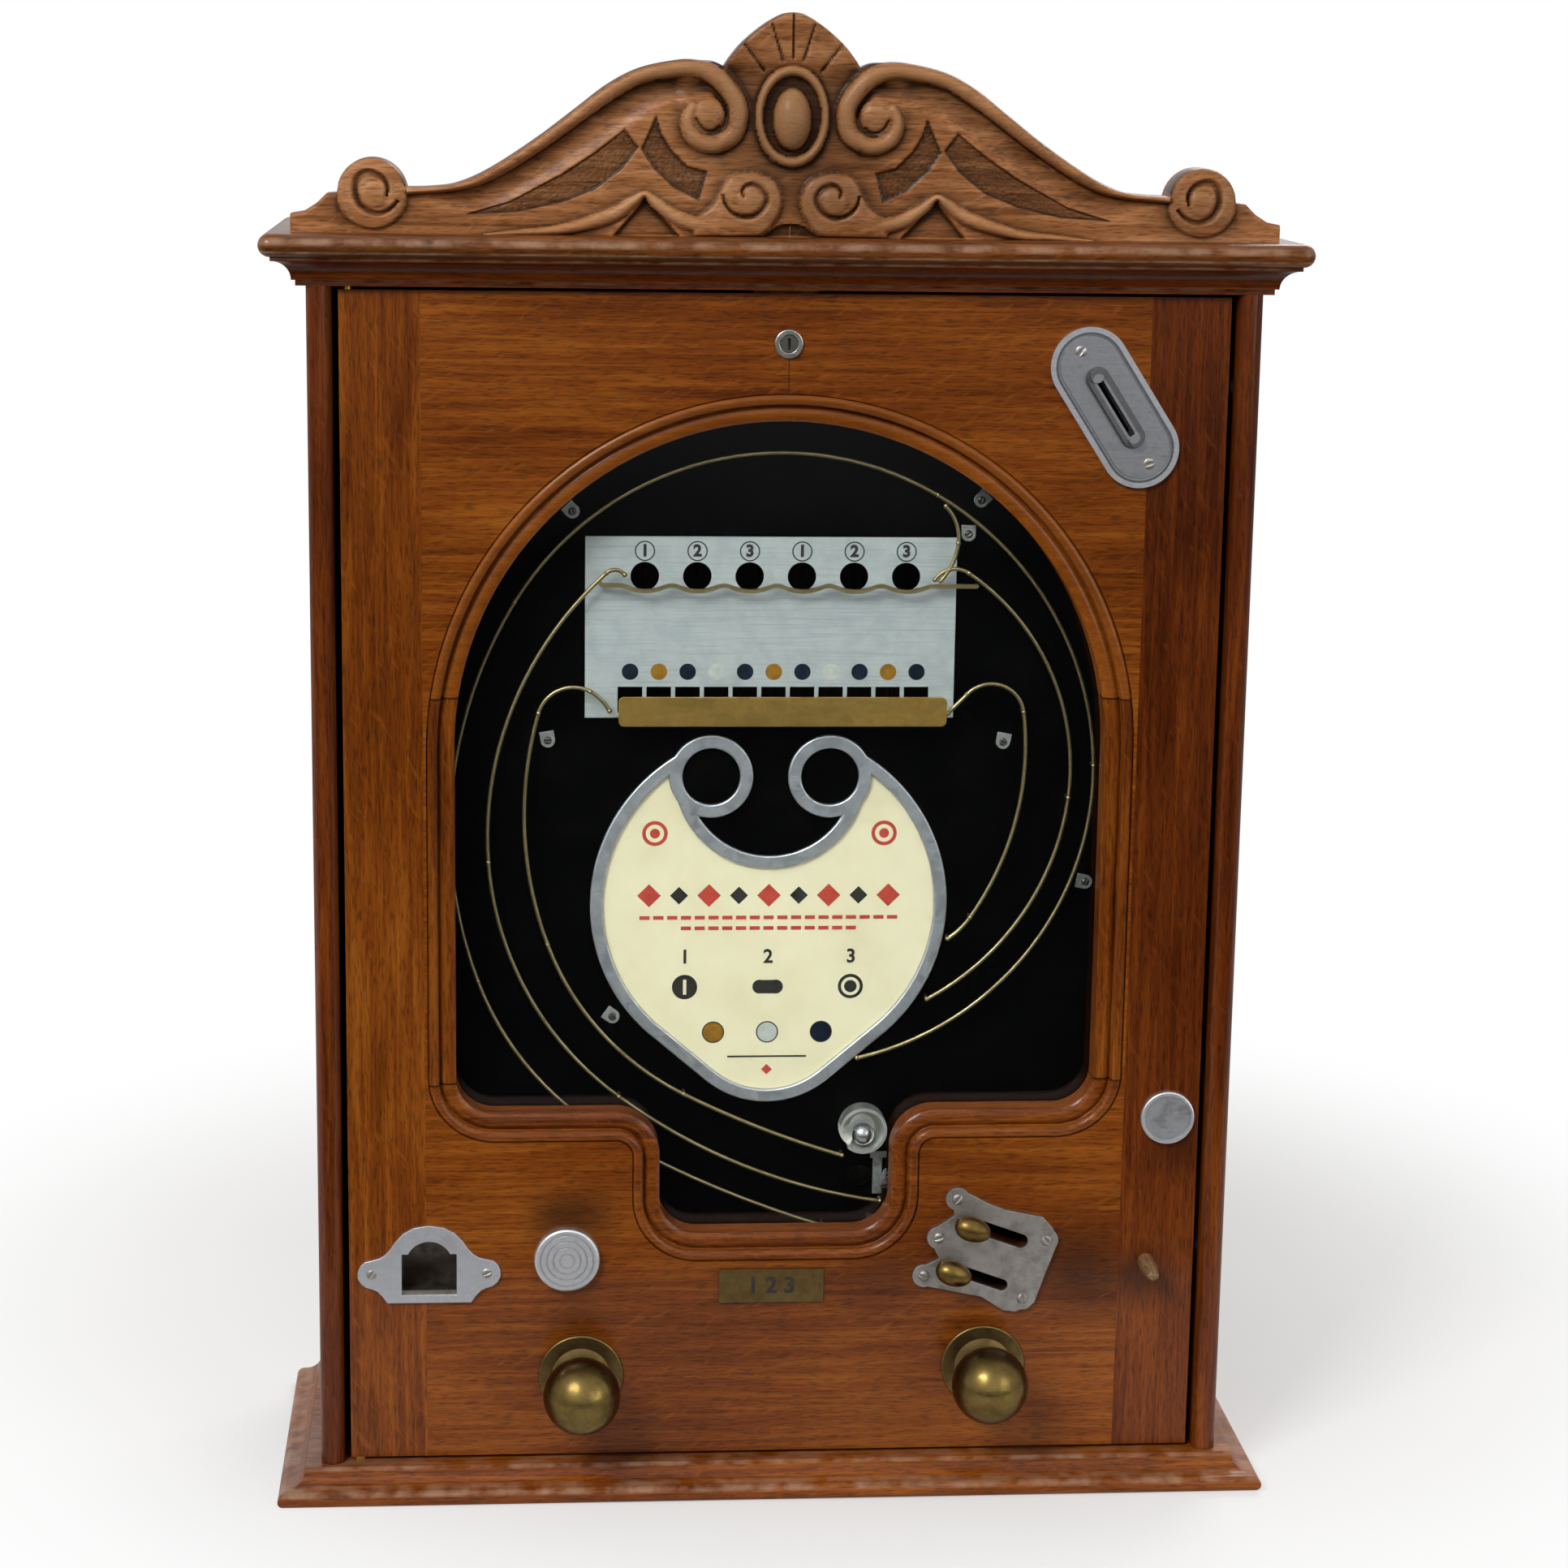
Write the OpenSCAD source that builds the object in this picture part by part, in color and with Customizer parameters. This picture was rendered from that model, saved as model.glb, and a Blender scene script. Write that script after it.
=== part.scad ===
// Coin-operated skill game: an oak case with a glazed, arch-topped door.
// Two triggers shoot steel balls round brass wire tracks, two knobs lift a ball and pay out a check.
// Z is up and the door faces -Y. The origin is the middle of the plinth's underside.

/* [Case] */
// Width across the side panels
case_w = 500; // [490:1:530]
// Height from the plinth to the cornice
case_h = 645; // [640:1:700]
// Depth from the face of the door to the back of the case
case_d = 165; // [155:1:220]
// Thickness of the side panels
side_t = 13; // [11:0.5:15]
// Thickness of the back panel
back_t = 10; // [6:0.5:14]
// How far the side beads stand in front of the door
bead_out = 6; // [3:0.5:8]
// Distance across the wall-fixing holes
wall_hole_dx = 400; // [300:5:440]
// Distance up between the wall-fixing holes
wall_hole_dz = 520; // [400:5:580]
// Diameter of the wall-fixing holes
wall_hole_d = 7; // [5:0.5:9]

/* [Plinth and cornice] */
// Height of the plinth
plinth_h = 19; // [17:0.5:25]
// How far the plinth stands out from the case
plinth_out = 23; // [20:0.5:28]
// Radius of the hollow in the plinth's edge
plinth_cove = 8.5; // [6:0.5:9]
// Height of the cornice moulding
cornice_h = 15; // [14:0.5:20]
// How far the cornice moulding stands out from the case
cornice_out = 17; // [14:0.5:18]
// Radius of the hollow in the cornice moulding
cornice_cove = 10; // [7:0.5:10.5]
// Depth of the cornice moulding's back, inside the case line
cornice_back = 30; // [24:1:40]
// Thickness of the top board
top_t = 12; // [10:0.5:16]
// How far the top board's nosing stands out from the case
top_out = 23; // [20:0.5:28]

/* [Pediment] */
// Width of the pediment at its base
ped_w = 515; // [505:1:525]
// Height of the pediment
ped_h = 114; // [112:1:124]
// Thickness of the pediment's board
ped_t = 20; // [16:0.5:24]
// How far the scrolls stand out of the pediment's face
ped_relief = 4; // [2:0.5:6]

/* [Door] */
// Thickness of the door
door_t = 20; // [18:0.5:24]
// Gap between the door and the side panels
door_gap = 3.5; // [3.5:0.1:4.5]
// Gap over and under the door
door_gap_z = 2; // [1.5:0.1:3]
// Width of the door's stiles
stile_w = 42; // [40:0.5:44]
// Diameter of the door's hinge pins
hinge_pin_d = 5; // [4:0.5:5.5]
// Length of a hinge pin inside the door
hinge_pin_len = 16; // [10:1:24]
// Distance of the hinge axis from the door's left edge
hinge_edge = 4.5; // [4:0.1:5]
// Distance of the hinge axis from the door's face
hinge_face = 5.5; // [5:0.1:6]

/* [Window] */
// Half width of the window, and the radius of its arch
win_hw = 175; // [168:0.5:176]
// Height of the arch's centre above the table
arch_z = 420; // [410:1:425]
// Height of the window's lower shelves
shelf_z = 216.5; // [212:0.5:222]
// Half width of the throat below the shelves
throat_hw = 64; // [62:0.5:66]
// Height of the throat's bottom
throat_z = 147; // [145:0.5:150]
// Radius of the window's and the throat's lower corners
corner_r = 21; // [16:0.5:24]
// Radius of the shoulders between shelf and throat
shoulder_r = 24; // [23:0.5:28]
// Width of the moulding round the window
mould_w = 15; // [13:0.5:17]
// Thickness of the glass
glass_t = 3; // [2.5:0.1:4]
// Depth of the ball space behind the glass
ball_space = 14.8; // [14:0.1:18]
// Thickness of the playfield board
field_t = 9; // [6:0.5:12]

/* [Ball tracks] */
// Diameter of the steel balls
ball_d = 12.7; // [11:0.1:13]
// Diameter of the brass wire rails
wire_d = 2.2; // [1.6:0.1:2.6]
// Diameter of the pins that hold the rails
rail_pin_d = 1.8; // [1.4:0.1:2]
// Number of score holes
hole_count = 6; // [4:1:6]
// Distance between score holes
hole_pitch = 28.3; // [26:0.1:29]
// Diameter of the score holes
hole_d = 15.5; // [14:0.1:17]
// Number of pockets behind the brass bar
pocket_count = 11; // [9:1:11]
// Distance between pockets
pocket_pitch = 15.6; // [15.2:0.1:16]
// Thickness of the score plate
score_t = 0.8; // [0.6:0.1:1.2]

/* [Coin and checks] */
// Length of the coin plate between its round ends' centres
coin_plate_len = 51; // [49:1:60]
// Radius of the coin plate's ends
coin_plate_r = 21; // [19:0.5:22]
// Lean of the coin slot from upright
coin_lean = 33; // [28:1:38]
// Diameter of the coin that the slot takes
coin_d = 30.8; // [28:0.1:32]
// Inside width of the coin chute
chute_gap = 5; // [4.5:0.1:6]
// Thickness of sheet-metal walls
sheet_t = 1.2; // [0.8:0.1:1.6]
// Diameter of a check
check_d = 26; // [24:0.5:27]
// Thickness of a check
check_t = 2; // [1.6:0.1:2.2]
// Slope of the check trough
check_slope = 12; // [8:1:15]

/* [Knobs and triggers] */
// Diameter of the knobs
knob_d = 42; // [36:1:46]
// Distance of a knob's middle from the door
knob_out = 31; // [30:0.5:34]
// Diameter of the knob roses
rose_d = 48; // [44:1:54]
// Thickness of the knob roses
rose_t = 5; // [4:0.5:6]
// Diameter of the knob spindles
spindle_d = 10; // [8:0.5:11]
// Crank length from spindle to pin
crank_r = 40; // [38:0.5:42]
// Diameter of the crank pins
crank_pin_d = 5; // [4:0.5:5.5]
// Height that a crank lifts its slide
lift = 28; // [20:1:28]
// Slope of the trigger slots, down to the right
slot_slope = 20; // [18:0.5:22]
// Travel of a trigger
trigger_pull = 30; // [20:1:30]
// Diameter of a trigger's stem
stem_d = 5; // [4:0.5:5.5]
// Diameter of the plunger rods
plunger_d = 6; // [5:0.5:7]
// Diameter of the plunger heads
plunger_head_d = 11; // [9:0.5:12]
// Coils of a trigger spring
spring_coils = 11; // [6:1:14]
// Wire diameter of a trigger spring
spring_wire = 1.1; // [0.8:0.1:1.4]
// Mean diameter of a trigger spring
spring_d = 9.4; // [9.2:0.1:11]

/* [Clearances] */
// Radial clearance of a shaft in its bearing
run_c = 0.05; // [0.02:0.01:0.1]
// Clearance between sliding sheet-metal pieces
slide_c = 0.4; // [0.3:0.05:0.6]
// Gap left where fixed pieces stand side by side
seat_c = 0.3; // [0.2:0.05:0.5]

/* [Hidden] */
$fn = 48;
e = 0.5;
oak = "#7a4420";
oak_dark = "#5b3016";
brass = "#b08d45";
alloy = "#b4b6b8";
steel = "#c9ccd0";
black = "#17171a";

// case
depth = case_d + plinth_out;
y_door = plinth_out - depth / 2;
y_back = depth / 2;
z_top = plinth_h + case_h;
z_board = z_top + cornice_h;
z_ped = z_board + top_t;
in_x = case_w / 2 - side_t;
// door
door_hw = in_x - door_gap;
door_z0 = plinth_h + door_gap_z;
door_z1 = z_top - door_gap_z;
panel_hw = door_hw - stile_w;
hinge_x = hinge_edge - door_hw;
hinge_y = y_door + hinge_face;
// depths measured back from the door's face
glass_y = door_t;
ball_y0 = glass_y + glass_t + 0.2;
field_y = ball_y0 + ball_space;
field_back = field_y + field_t;
track_y = (ball_y0 + field_y) / 2;
// offsets from the window's edge
off_ball = 7;
off_glass = 10;
off_frame = 21;
// features placed from the door's centre line and the table
lock_z = z_top - 28;
lock_d = 13;
plug_d = 9;
cam_len = 23;
cam_w = 9;
cam_t = 2.5;
coin_c = [173, 604];
coin_u = [sin(coin_lean), -cos(coin_lean)];
chute_x = door_hw - 26.5;
chute_depth = coin_d + 7;
chute_w = chute_gap + 2 * sheet_t;
chute_bend = [chute_x, coin_c[1] - (chute_x - coin_c[0]) * cos(coin_lean) / sin(coin_lean)];
chute_end_z = 100;
lever_c = [chute_x - 22, 165];
lever_y = 35;
lever_len = 10;
lever_pin_d = 4;
lever_post_d = 9;
pay_c = [-190, 127.7];
pay_hw = 15;
pay_top = 146.2;
pay_floor = 116;
pay_lip = 113;
pay_scoop_r = 24;
pay_back = 33;
pay_h = 182;
knob_l = [-107, 67];
knob_r = [117, 69.5];
disc_l = [-114.7, 135.2];
disc_r = [door_hw - 17.5, 213];
peg_c = [door_hw - 26.5, 129];
peg_d = 9.5;
peg_in = 15;
plate_c = [-2, 118];
up_c = [108, 153];
low_c = [98, 127.5];
slot_u = [cos(slot_slope), -sin(slot_slope)];
// crank travel
crank_a = asin(lift / 2 / crank_r);
crank_sag = crank_r * (1 - cos(crank_a));
crank_t = 4;
// checks run in one upright plane behind the door
check_y = door_t + 9.5;
check_gap = check_t + 1;
shaft_w = check_d + 3;
shaft_x0 = pay_c[0] + pay_hw + 3.5 * sheet_t;
shaft_x1 = shaft_x0 + shaft_w;
shaft_z0 = 96;
check_z = 120;
lifter_t = check_gap - 2 * slide_c + 0.2;
lifter_x = [shaft_x0 + slide_c, shaft_x1 - slide_c];
left_pin_x = knob_l[0] - crank_r * cos(crank_a);
left_crank_y = door_t + 1.5;
// balls come back in a trough behind the playfield
trough_w = ball_d + 1.3;
trough_y = field_back + sheet_t;
lift_x = 50;
lift_y = trough_y + trough_w / 2;
lift_z = 134;
seat_w = trough_w - 2 * slide_c;
feed_z = lift_z + lift + ball_d / 2 - 1;
right_pin_x = knob_r[0] - crank_r * cos(crank_a);
right_crank_y = field_back - 2;
bar_t = 2.4;
// score plate
score_x = -4.5;
score_w = 201;
score_z0 = 430.5;
score_z1 = 529.5;
hole_x = -2.2;
hole_z = 508;
pocket_x = -2.6;
pocket_z0 = 433;
pocket_z1 = 447.5;
pocket_w = 13.4;
bar_c = [1.9, 436];
bar_w = 178;
bar_h = 16;
// card frame
card_x = -3.5;
card_z = 326;
card_r = 98.5;
card_tip_z = 265;
card_tip_r = 52;
ring_dx = 32.5;
ring_z = 398;
ring_r = 23;
ring_hole_r = 15.7;
hollow_r = 45.5;
band = 7.2;
card_frame_t = 3;
card_t = 1;
cup_c = [50.4, 198.2];
cup_r = 13.2;
// plunger stations along the slot, from the stem at rest
head_s = -49;
head_len = 8;
post_s = -9;
post_t = 4;
collar_s = [post_s + post_t + 0.5, post_s + post_t + 12.5];
end_post_s = 56;
rod_end_s = 64;

// Solder beads at the joints of the rails
solder_d = wire_d + 0.6;
joint_gap = 0.15;

// Routes of the wire rails: start, heading, then [length, turn] for each arc
outer_route = [[28.5, 142], 162, [[126, -12], [122, -40], [218, -51], [260, -89], [181, -58], [226, -79]]];
hook_route = [[88.5, 547.5], -45, [[22, -50], [23, -38]]];
middle_left_route = [[61, 156], 171.5, [[161, -29], [156, -48.5], [177, -51.5], [11.2, -95]]];
middle_right_route = [[83.5, 507.5], 56, [[21, -90], [144, -62], [142, -55]]];
inner_left_route = [[39, 183], 163, [[96, -10.5], [117, -42.5], [131, -35.5], [35, -103], [15, -35]]];
inner_right_route = [[92, 434], 43, [[15, 4], [41, -129], [121, -42], [17, -22]]];
scallop_a = 25;
scallop_cup_r = 25;
scallop_crest_r = hole_pitch / 2 / sin(scallop_a) - scallop_cup_r;
scallop_cup = [scallop_cup_r * scallop_a * PI / 90, 2 * scallop_a];
scallop_crest = [scallop_crest_r * scallop_a * PI / 90, -2 * scallop_a];
scallop_lead = [9.5, 24];
scallop_x0 = hole_x - hole_pitch * hole_count / 2 - scallop_lead[0];
scallop_z = 504;
scallop_route = [[scallop_x0, scallop_z], 0, concat(
  [[scallop_lead[0], 0], [scallop_crest[0] / 2, -scallop_a]],
  [for (i = [1 : hole_count]) each (i < hole_count ? [scallop_cup, scallop_crest] : [scallop_cup])],
  [[scallop_crest[0] / 2, -scallop_a], [scallop_lead[1], 0]])];

// Shapes that are used again and again

// A flat shape, drawn as seen from the front, made solid between two depths behind the door's face
module slab(y0, y1) {
  translate([0, y_door + y1, 0]) rotate([90, 0, 0]) linear_extrude(y1 - y0) children();
}

// A round bar running back from the door's face
module rod(c, d, y0, y1) {
  translate([c[0], y_door + y1, c[1]]) rotate([90, 0, 0]) cylinder(d = d, h = y1 - y0);
}

// A shape turned about an axis that runs back from the door's face: x is radius, y is distance to the front
module turned(c) {
  translate([c[0], y_door, c[1]]) rotate([90, 0, 0]) rotate_extrude() children();
}

// A box between two corners
module block(a, b) {
  translate(a) cube(b - a);
}

// A flat rectangle between two corners
module rect(a, b) {
  translate(a) square(b - a);
}

// A flat bar with round ends
module stadium(a, b, w) {
  len_ab = norm(b - a);
  translate(a) rotate(atan2(b[1] - a[1], b[0] - a[0])) {
    translate([0, -w / 2]) square([len_ab, w]);
    circle(d = w);
    translate([len_ab, 0]) circle(d = w);
  }
}

// A moulded slab: one profile carried along the front and both sides, mitred at the corners
module mitred(z0, z1) {
  intersection() {
    translate([-case_w, 0, 0]) rotate([90, 0, 90]) linear_extrude(2 * case_w) {
      rect([y_door, z0], [y_back, z1]);
      translate([y_door, 0]) mirror([1, 0]) children();
    }
    translate([0, y_back, 0]) rotate([90, 0, 0]) linear_extrude(2 * case_d) {
      rect([-case_w / 2, z0], [case_w / 2, z1]);
      for (s = [0, 1]) mirror([s, 0]) translate([case_w / 2, 0]) children();
    }
  }
}

// The window's outline, set out by o from the edge of the moulding
module window2d(o) {
  hw = win_hw + o;
  tw = throat_hw + o;
  zs = shelf_z - o;
  zt = throat_z - o;
  r = corner_r + o;
  rs = shoulder_r - o;
  translate([0, arch_z]) circle(hw, $fn = 160);
  rect([-hw, zs + r], [hw, arch_z]);
  rect([r - hw, zs], [hw - r, zs + r + e]);
  rect([-tw, zt + r], [tw, zs + e]);
  rect([r - tw, zt], [tw - r, zt + r + e]);
  for (s = [-1, 1]) {
    translate([s * (hw - r), zs + r]) circle(r);
    translate([s * (tw - r), zt + r]) circle(r);
    difference() {
      translate([s * (tw + rs / 2), zs - rs / 2 + e / 2]) square([rs + e, rs + e], center = true);
      translate([s * (tw + rs), zs - rs]) circle(rs);
      translate([s * (tw + rs + e), zs - rs]) square([2 * e, 2 * rs], center = true);
    }
  }
}

// Wire bent along arcs in the plane of the tracks, laid down one arc after the other.
// Each arc stops just short of its ends, where a bead of solder joins it to the next.
module wire_arcs(arcs, i = 0) {
  if (i < len(arcs)) {
    l = arcs[i][0];
    t = arcs[i][1];
    r = t == 0 ? 0 : l / abs(t) * 180 / PI;
    cut = t == 0 ? 0 : abs(t) * joint_gap / l;
    if (t == 0)
      translate([joint_gap, 0, 0]) rotate([0, 90, 0]) cylinder(d = wire_d, h = l - 2 * joint_gap, $fn = 16);
    else
      translate([0, sign(t) * r, 0]) rotate((t > 0 ? -90 : 90 + t) + cut)
        rotate_extrude(angle = abs(t) - 2 * cut, $fn = max(48, r)) translate([r, 0]) circle(d = wire_d, $fn = 16);
    translate(t == 0 ? [l, 0, 0] : [r * sin(abs(t)), sign(t) * r * (1 - cos(t)), 0])
      rotate(t) wire_arcs(arcs, i + 1);
  }
}

module wire(route) {
  translate([route[0][0], y_door + track_y, route[0][1]]) rotate([90, 0, 0]) rotate(route[1]) wire_arcs(route[2]);
  for (k = [0 : len(route[2])])
    translate([route_at(route, k)[0], y_door + track_y, route_at(route, k)[1]]) sphere(d = solder_d, $fn = 16);
}

// Where the route stands after its first k arcs
function turned_by(route, k) = k == 0 ? route[1] : turned_by(route, k - 1) + route[2][k - 1][1];
function arc_step(l, t) = abs(t) < 0.001 ? l : l * sin(abs(t) / 2) * 360 / (abs(t) * PI);
function route_at(route, k) = k == 0 ? route[0]
  : let(h = turned_by(route, k - 1), l = route[2][k - 1][0], t = route[2][k - 1][1])
    route_at(route, k - 1) + arc_step(l, t) * [cos(h + t / 2), sin(h + t / 2)];

// Points along a route, n to each arc, set off sideways by o
function route_side(route, o, n) = [for (k = [0 : len(route[2]) - 1], i = [0 : n - 1])
  let(h = turned_by(route, k), f = i / n, l = route[2][k][0] * f, t = route[2][k][1] * f)
    route_at(route, k) + arc_step(l, t) * [cos(h + t / 2), sin(h + t / 2)] + o * [-sin(h + t), cos(h + t)]];

// A strip of square wire bent along a route
module strip(route) {
  n = 6;
  low = route_side(route, -wire_d / 2, n);
  high = route_side(route, wire_d / 2, n);
  last = len(route[2]);
  tip = route_at(route, last);
  side = wire_d / 2 * [-sin(turned_by(route, last)), cos(turned_by(route, last))];
  slab(track_y - wire_d / 2, track_y + wire_d / 2)
    polygon(concat(low, [tip - side, tip + side], [for (i = [len(high) - 1 : -1 : 0]) high[i]]));
}

// Pins that hold a rail off the playfield, at the joints of its arcs
module rail_pins(route, stations) {
  for (k = stations) rod(route_at(route, k), rail_pin_d, track_y, field_y, $fn = 16);
}

// A place along a trigger's slot, counted from its stem at rest
function along(c, s) = c + s * slot_u;

// A round bar lying along a trigger's slot, at the depth of the tracks
module slot_rod(c, d, s0, s1) {
  p = along(c, s0);
  translate([p[0], y_door + track_y, p[1]]) rotate([0, 90 + slot_slope, 0]) cylinder(d = d, h = s1 - s0);
}

// A block lying along a trigger's slot
module slot_block(c, s0, s1, w, y0, y1) {
  slab(y0, y1) translate(c) rotate(-slot_slope) translate([s0, -w / 2]) square([s1 - s0, w]);
}

// Case

module side_panel(s) {
  y_bead = y_door - bead_out + side_t / 2;
  x_mid = s * (in_x + side_t / 2);
  block([x_mid - side_t / 2, y_bead, plinth_h], [x_mid + side_t / 2, y_back, z_top]);
  translate([x_mid, y_bead, plinth_h]) cylinder(d = side_t, h = case_h);
}

module side_panel_left() {
  color(oak) side_panel(-1);
}

module side_panel_right() {
  color(oak) side_panel(1);
}

module back_panel() {
  z_mid = plinth_h + case_h / 2;
  leg_x = case_w / 2 - cornice_back;
  color(oak_dark) difference() {
    union() {
      block([-in_x, y_back - back_t, plinth_h], [in_x, y_back, z_top]);
      block([-leg_x, y_back - back_t, z_top - e], [leg_x, y_back, z_board]);
    }
    for (sx = [-1, 1], sz = [-1, 1])
      translate([sx * wall_hole_dx / 2, y_back + e, z_mid + sz * wall_hole_dz / 2])
        rotate([90, 0, 0]) cylinder(d = wall_hole_d, h = back_t + 2 * e);
  }
}

// Square nosing with a round nose at the foot, then a hollow up to a narrow fillet
module plinth_profile() {
  nose = 9;
  fillet = 2;
  hollow_u = plinth_out - nose / 2 - 1.5;
  rect([-e, 0], [plinth_out - nose / 2, nose]);
  translate([plinth_out - nose / 2, nose / 2]) circle(d = nose);
  difference() {
    rect([-e, nose - e], [hollow_u, plinth_h - fillet]);
    translate([hollow_u, nose + plinth_cove]) circle(plinth_cove);
    rect([hollow_u - plinth_cove, nose + plinth_cove], [plinth_out, plinth_h]);
  }
  rect([-e, nose], [hollow_u - plinth_cove, plinth_h]);
}

module plinth_board() {
  color(oak_dark) difference() {
    mitred(0, plinth_h) plinth_profile();
    translate([hinge_x, hinge_y, plinth_h - hinge_pin_len / 2])
      cylinder(d = hinge_pin_d, h = hinge_pin_len);
  }
}

// Bottom bead, a hollow and a top fillet
module cornice_profile() {
  bead = 3;
  translate([-e, z_top]) square([cornice_out - cornice_cove + e - 2, bead + e]);
  difference() {
    rect([-e, z_top + bead], [cornice_out, z_board]);
    translate([cornice_out, z_top + bead]) circle(cornice_cove);
  }
}

module cornice_moulding() {
  color(oak) difference() {
    mitred(z_top, z_board) cornice_profile();
    block([cornice_back - case_w / 2, y_door + cornice_back, z_top - e],
      [case_w / 2 - cornice_back, y_back + e, z_board + e]);
    translate([hinge_x, hinge_y, z_top - e]) cylinder(d = hinge_pin_d, h = hinge_pin_len / 2 + e);
  }
}

module top_board() {
  x = case_w / 2 + top_out - top_t / 2;
  y = y_door - top_out + top_t / 2;
  color(oak) {
    block([-x, y, z_board], [x, y_back, z_ped]);
    translate([-x, y, z_board + top_t / 2]) rotate([0, 90, 0]) cylinder(d = top_t, h = 2 * x);
    for (s = [-1, 1]) {
      translate([s * x, y, z_board + top_t / 2]) rotate([-90, 0, 0]) cylinder(d = top_t, h = y_back - y);
      translate([s * x, y, z_board + top_t / 2]) sphere(d = top_t);
    }
  }
}

// Points of an arc about a centre
function arc_pts(c, r, a0, a1, n) = [for (i = [0 : n]) let(a = a0 + (a1 - a0) * i / n) c + r * [cos(a), sin(a)]];

// Left half of the pediment's outline: end block, swan-neck sweep and half of the pointed crest
ped_end = 9.5;
ped_neck = 23;
ped_slope = 37;
ped_sweep_r = 122;
ped_roll_r = 60;
ped_brow = 89;
scroll_r = 17.5;
scroll_x = 216;
scroll_dz = 20;
volute_r = 29;
volute_x = 41.5;
volute_dz = 60;
curl_r = 15.5;
curl_x = 25;
curl_dz = 19;
crest_w = 36;
crest_r = 62;

module ped_half2d() {
  base_x = ped_w / 2;
  sweep_c = [-188, ped_neck + ped_sweep_r];
  roll_c = [-50, ped_brow - ped_roll_r];
  polygon(concat(
    [[0, 0], [-base_x, 0], [-base_x, ped_end]],
    arc_pts([-base_x, ped_end + 19], 19, -90, -20, 8),
    [[-scroll_x, ped_neck]],
    arc_pts(sweep_c, ped_sweep_r, -90, -90 + ped_slope, 10),
    arc_pts(roll_c, ped_roll_r, 90 + ped_slope, 90, 10),
    [[0, ped_brow]]));
  translate([-scroll_x, scroll_dz]) circle(scroll_r);
  translate([-volute_x, volute_dz]) circle(volute_r);
}

// Pointed crest over the middle: two arcs that meet at the top
module crest2d() {
  crest_z = ped_h - ped_brow + 14;
  cx = (crest_z * crest_z - crest_w * crest_w) / (2 * crest_w);
  r = cx + crest_w;
  intersection() {
    intersection_for (k = [-1, 1]) translate([k * cx, ped_h - crest_z]) circle(r, $fn = 96);
    rect([-crest_w, ped_brow - 20], [crest_w, ped_h + 1]);
  }
}

// A scroll's raised turn: rings that narrow to an eye
module scroll(c, r) {
  translate([c[0], y_door, z_ped + c[1]]) rotate([90, 0, 0]) {
    rotate_extrude() {
      rect([0, -e], [r * 0.3, ped_relief]);
      rect([r * 0.45, -e], [r * 0.75, ped_relief * 0.75]);
      rect([0, -e], [r, ped_relief * 0.5]);
    }
  }
}

module pediment() {
  cab = [19, 25];
  color(oak) {
    translate([0, y_door + ped_t, z_ped]) rotate([90, 0, 0]) linear_extrude(ped_t) {
      ped_half2d();
      mirror([1, 0]) ped_half2d();
      crest2d();
    }
    for (s = [-1, 1]) {
      scroll([s * scroll_x, scroll_dz], scroll_r);
      scroll([s * volute_x, volute_dz], volute_r * 0.72);
      scroll([s * curl_x, curl_dz], curl_r);
    }
    // oval boss and its ring in the middle
    translate([0, y_door + e, z_ped + volute_dz]) rotate([90, 0, 0]) linear_extrude(ped_relief + e)
      intersection_for (k = [-1, 1])
        translate([k * (cab[1] * cab[1] - cab[0] * cab[0]) / (2 * cab[0]), 0])
          circle((cab[1] * cab[1] + cab[0] * cab[0]) / (2 * cab[0]), $fn = 96);
    translate([0, y_door - ped_relief + 5, z_ped + volute_dz]) sphere(d = 22);
  }
}

// Pin at the door's top and bottom; the lower one has the washer that carries the door
module hinge_pins() {
  color(brass) {
    translate([hinge_x, hinge_y, plinth_h - hinge_pin_len / 2])
      cylinder(d = hinge_pin_d, h = hinge_pin_len * 1.5 + door_gap_z);
    translate([hinge_x, hinge_y, plinth_h]) cylinder(d = hinge_pin_d + 3, h = door_gap_z);
    translate([hinge_x, hinge_y, door_z1 - hinge_pin_len])
      cylinder(d = hinge_pin_d, h = hinge_pin_len * 1.5 + door_gap_z);
  }
}

keep_y = door_t + 2.5;

module lock_keep() {
  keep_w = 34;
  color(brass) translate([0, y_door, 0]) {
    block([-keep_w / 2, keep_y, z_top - 13], [keep_w / 2, keep_y + cam_t, z_top]);
    block([-keep_w / 2, keep_y, z_top - 2], [keep_w / 2, keep_y + 7, z_top]);
  }
}

box_x0 = knob_r[0] + 35;
box_y = [y_door + door_t + 7, y_back - back_t - 6];
box_h = 64;
box_t = 6;

module cash_box() {
  x1 = in_x - 6;
  color(oak_dark) difference() {
    block([box_x0, box_y[0], plinth_h], [x1, box_y[1], plinth_h + box_h]);
    block([box_x0 + box_t, box_y[0] + box_t, plinth_h + box_t], [x1 - box_t, box_y[1] - box_t, plinth_h + box_h + e]);
  }
}

// Door

// Hole for the payout chute, which straddles the stile and the panel
module payout_hole() {
  slab(-e, door_t + e)
    rect([pay_c[0] - pay_hw - 2 * sheet_t - seat_c, pay_lip - seat_c], [pay_c[0] + pay_hw + 2 * sheet_t + seat_c, pay_top + 1]);
}

module stile(s) {
  slab(0, door_t) rect([s > 0 ? panel_hw : -door_hw, door_z0], [s > 0 ? door_hw : -panel_hw, door_z1]);
}

module door_stile_left() {
  color(oak) difference() {
    stile(-1);
    payout_hole();
    for (z = [door_z0 - e, door_z1 - hinge_pin_len - 1])
      translate([hinge_x, hinge_y, z]) cylinder(d = hinge_pin_d + 2 * run_c, h = hinge_pin_len + 1 + e);
  }
}

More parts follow.
